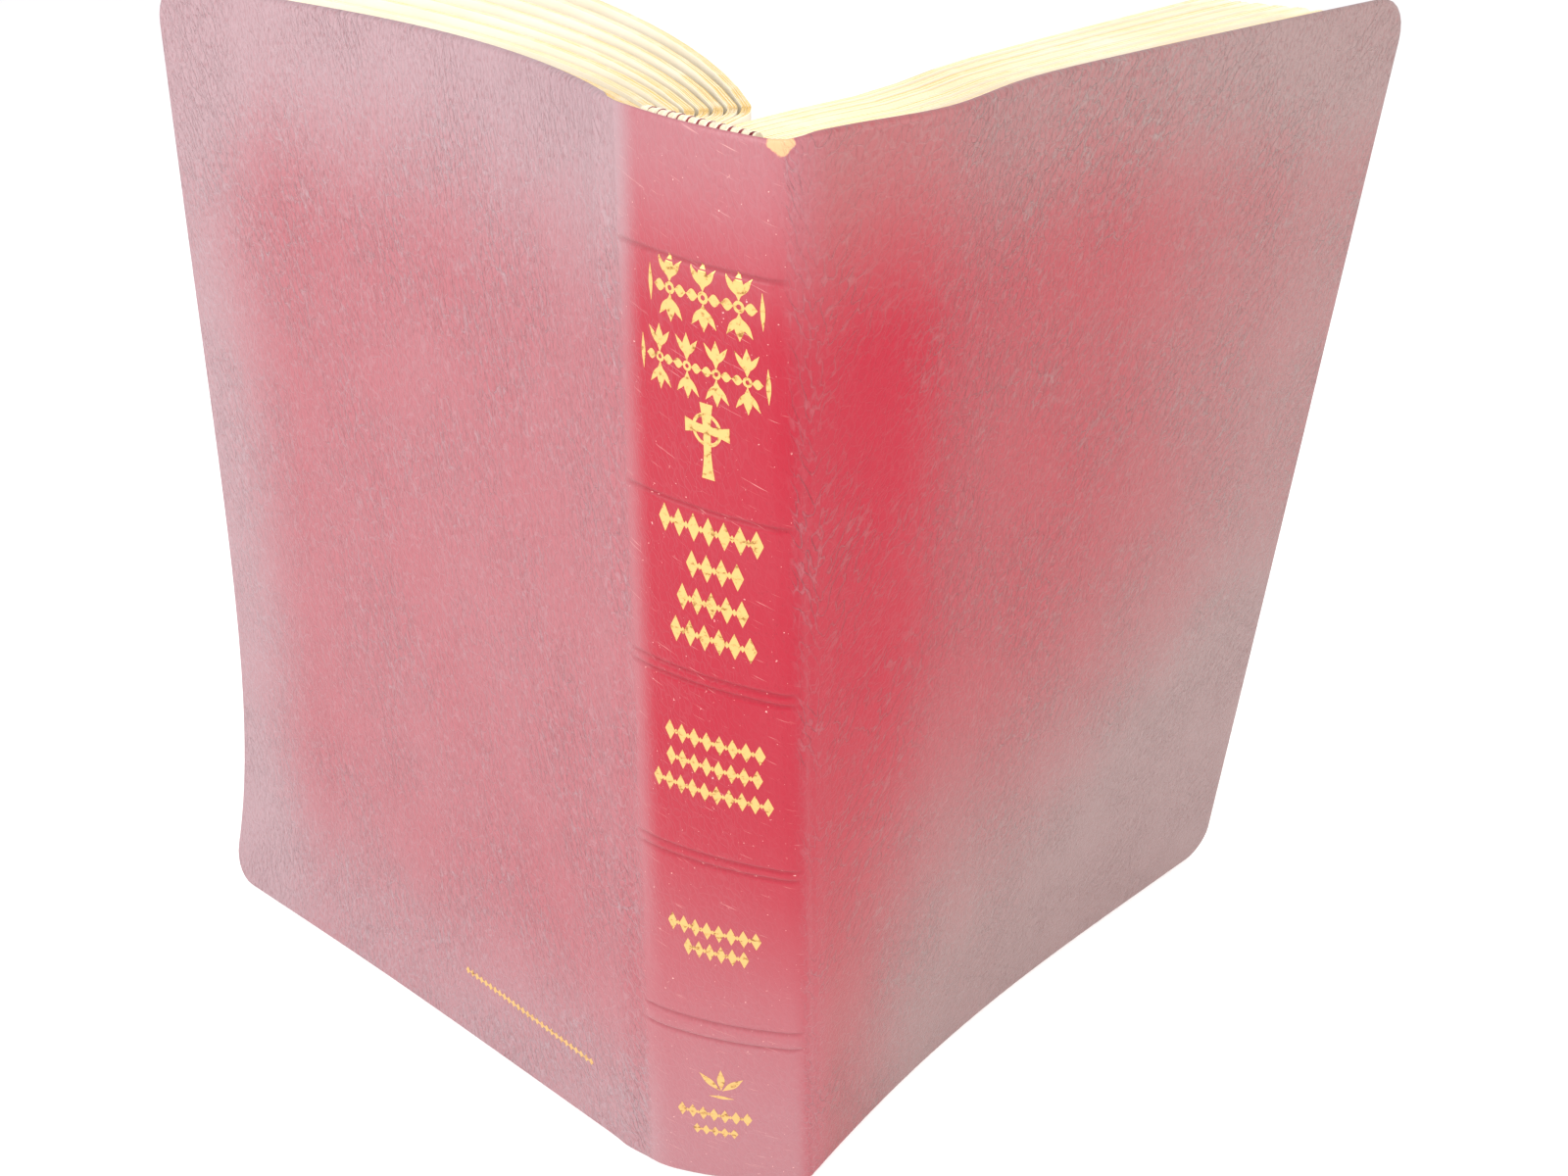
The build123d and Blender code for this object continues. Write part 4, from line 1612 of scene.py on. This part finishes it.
class BIBLE_OT_tooling(bpy.types.Operator):
    """Press wordless gold ornament into the spine and the foot of the back cover"""

    bl_idname = "bible.tooling"
    bl_label = "Gold tooling"

    def execute(self, context):
        tooling, cover = context.scene.bible_tooling, context.scene.bible_cover
        gold = gold_foil(tooling)
        foil = tooling.foil
        tree = repeat_tree("row of lozenges", LOZENGE_INPUTS, build_lozenges)

        def row_of(middle, level, length, height, count):
            pitch = length / count
            parts = []
            for share, dot in ((1.0, False), (0.28, True)):
                mesh = grown(tree, {
                    "Count": count - dot, "Pitch": pitch * MM,
                    "Width": pitch * (0.84 if not dot else 0.34) * MM,
                    "Height": height * share * MM,
                    "Thickness": 2 * foil, "Middle": middle * MM, "Level": level * MM,
                    "Material": gold,
                })
                points = np.array([v.co for v in mesh.vertices], float)
                parts.append((points, [tuple(p.vertices) for p in mesh.polygons]))
                bpy.data.meshes.remove(mesh)
            return parts

        def pressed(name, parts):
            points, faces = joined(parts)
            across, up, proud = points.T
            side = np.where(across < 0, 1, -1)
            depths = [outer_depth(s, np.abs(across), up, cover) for s in (1, -1)]
            depth = np.where(side == 1, depths[0], depths[1]) - proud
            both = [skin_point(s, np.abs(across), up, depth, cover) for s in (1, -1)]
            laid = np.where((side == 1)[:, None], both[0], both[1])
            mesh = mesh_from(name, laid, faces, points[:, :2], smooth=False)
            return new_piece(name, mesh, gold)

        parts = []
        for row in SPINE_ROWS:
            parts += row_of(*row)
        for middle, level, width, height, count in TITLE_ROWS:
            pitch = width / count
            for at in range(count):
                x = (middle + (at - (count - 1) / 2) * pitch) * MM
                parts += flower(x, level * MM, pitch * 0.98 * MM, height * MM, foil)
            for edge in (-1, 1):
                x = (middle + edge * (width / 2 + 0.9)) * MM
                parts.append(blade(x, level * MM, height * 0.55 * MM, 0.9 * MM, math.pi / 2, foil))
        parts += cross(1.9 * MM, 188.4 * MM, 13.8 * MM, foil)
        for share in (0.25, 0.5, 0.75):  # a sprig of three leaves over a short bar
            heading, reach = share * math.pi, 3.6 * MM
            x, y = reach * math.cos(heading), (29.5 * MM) + reach * math.sin(heading)
            parts.append(blade(x, y, 6.4 * MM, 1.7 * MM, heading, foil))
        parts.append(blade(0.0, 27.6 * MM, 5.4 * MM, 0.9 * MM, 0.0, foil))
        spine_gold = pressed("spine_gold", parts)
        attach(spine_gold, "spine")
        back_gold = pressed("back_cover_gold", row_of(*BACK_ROW))
        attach(back_gold, "back_cover")
        return {"FINISHED"}


# ------------------------------------------------------------------------------------------- stage
CAMERA_PLACE = (12.0 * MM, -297.6 * MM, 296.5 * MM)
CAMERA_DIP = math.radians(31.13)  # below the level
CAMERA_ROLL = math.radians(-0.888)


def soft_light(name, place, target, size, power, colour="#ffffff"):
    light = bpy.data.lights.new(name, "AREA")
    light.shape = "RECTANGLE"
    light.size, light.size_y = size
    light.energy = power
    light.color = linear(colour)
    lamp = bpy.data.objects.new(name, light)
    bpy.context.scene.collection.objects.link(lamp)
    lamp.location = place
    lamp.rotation_euler = (Vector(target) - Vector(place)).to_track_quat("-Z", "Y").to_euler()
    return lamp


class BIBLE_OT_stage(bpy.types.Operator):
    """Stand the book on a pale floor under soft light, before the camera"""

    bl_idname = "bible.stage"
    bl_label = "Stage"

    def execute(self, context):
        stage = context.scene.bible_stage
        half = stage.floor_size / 2
        low = cad_low.z - 0.2 * MM  # just clear of the book, so that the two never flicker
        corners = [(-half, -half, low), (half, -half, low), (half, half, low), (-half, half, low)]
        mesh = bpy.data.meshes.new("floor")
        mesh.from_pydata(corners, [], [(0, 1, 2, 3)])
        material, tree = new_finish("painted board, matt")
        at = add(tree, "ShaderNodeTexCoord").outputs["Object"]
        cloud = mottle(tree, at, 0, (0.5, 0.5, 0.5), 2.0)
        tone = add(
            tree, "ShaderNodeMix",
            {
                0: add(tree, "ShaderNodeMapRange", [cloud, 0.3, 0.8, 0.0, 0.25], **SMOOTH),
                6: alpha(stage.floor), 7: alpha(linear("#e9e7e6")),
            },
            **COLOURS,
        ).outputs[2]
        add(
            tree, "ShaderNodeOutputMaterial",
            {
                "Surface": add(
                    tree, "ShaderNodeBsdfPrincipled", {"Base Color": tone, "Roughness": 0.9}
                ),
            },
        )
        new_piece("floor", mesh, material)

        world = bpy.data.worlds.new("studio")
        world.use_nodes = True
        sky = world.node_tree.nodes["Background"]
        sky.inputs["Color"].default_value = alpha(linear("#fdfdff"))
        sky.inputs["Strength"].default_value = 1.02
        context.scene.world = world
        book = (0.0, 0.0, 0.12)
        soft_light("left_window", (-0.9, -0.35, 0.55), book, (0.7, 0.7), 7.5)
        soft_light("right_window", (0.95, -0.45, 0.5), book, (0.6, 0.6), 4.6)
        soft_light("above_camera", (0.05, -0.75, 0.75), book, (0.35, 0.25), 6.2, "#fff6f0")

        camera = bpy.data.objects.new("camera", bpy.data.cameras.new("camera"))
        context.scene.collection.objects.link(camera)
        camera.data.lens = stage.lens
        camera.data.sensor_width = 36.0
        camera.data.clip_start = 10 * MM
        right, above = Vector((1, 0, 0)), Vector((0, math.sin(CAMERA_DIP), math.cos(CAMERA_DIP)))
        level = right * math.cos(CAMERA_ROLL) + above * math.sin(CAMERA_ROLL)
        top = above * math.cos(CAMERA_ROLL) - right * math.sin(CAMERA_ROLL)
        facing = Matrix((level, top, level.cross(top))).transposed()
        camera.matrix_world = Matrix.Translation(CAMERA_PLACE) @ facing.to_4x4()
        context.scene.camera = camera
        context.scene.view_settings.view_transform = "Standard"
        return {"FINISHED"}


class BIBLE_PT_maker(bpy.types.Panel):
    """The steps that make the bible, in order"""

    bl_idname = "BIBLE_PT_maker"
    bl_label = "Bible"
    bl_space_type = "VIEW_3D"
    bl_region_type = "UI"
    bl_category = "Bible"

    def draw(self, context):
        for name, group in SETTING_GROUPS.items():
            box = self.layout.box()
            settings = getattr(context.scene, name)
            for setting in group.__annotations__:
                box.prop(settings, setting)
        for step in STEPS:
            self.layout.operator(step.bl_idname)


STEPS = (
    BIBLE_OT_stage, BIBLE_OT_leather, BIBLE_OT_endpapers, BIBLE_OT_leaves, BIBLE_OT_bands,
    BIBLE_OT_linings, BIBLE_OT_tooling,
)


def register():
    for made in (*SETTING_GROUPS.values(), *STEPS, BIBLE_PT_maker):
        bpy.utils.register_class(made)
    for name, group in SETTING_GROUPS.items():
        setattr(bpy.types.Scene, name, PointerProperty(type=group))


def unregister():
    for name in SETTING_GROUPS:
        delattr(bpy.types.Scene, name)
    for made in reversed((*SETTING_GROUPS.values(), *STEPS, BIBLE_PT_maker)):
        bpy.utils.unregister_class(made)


def main():
    register()
    bpy.ops.bible.stage()
    bpy.ops.bible.leather()
    bpy.ops.bible.endpapers()
    bpy.ops.bible.leaves()
    bpy.ops.bible.bands()
    bpy.ops.bible.linings()
    bpy.ops.bible.tooling()


if __name__ == "__main__":
    main()
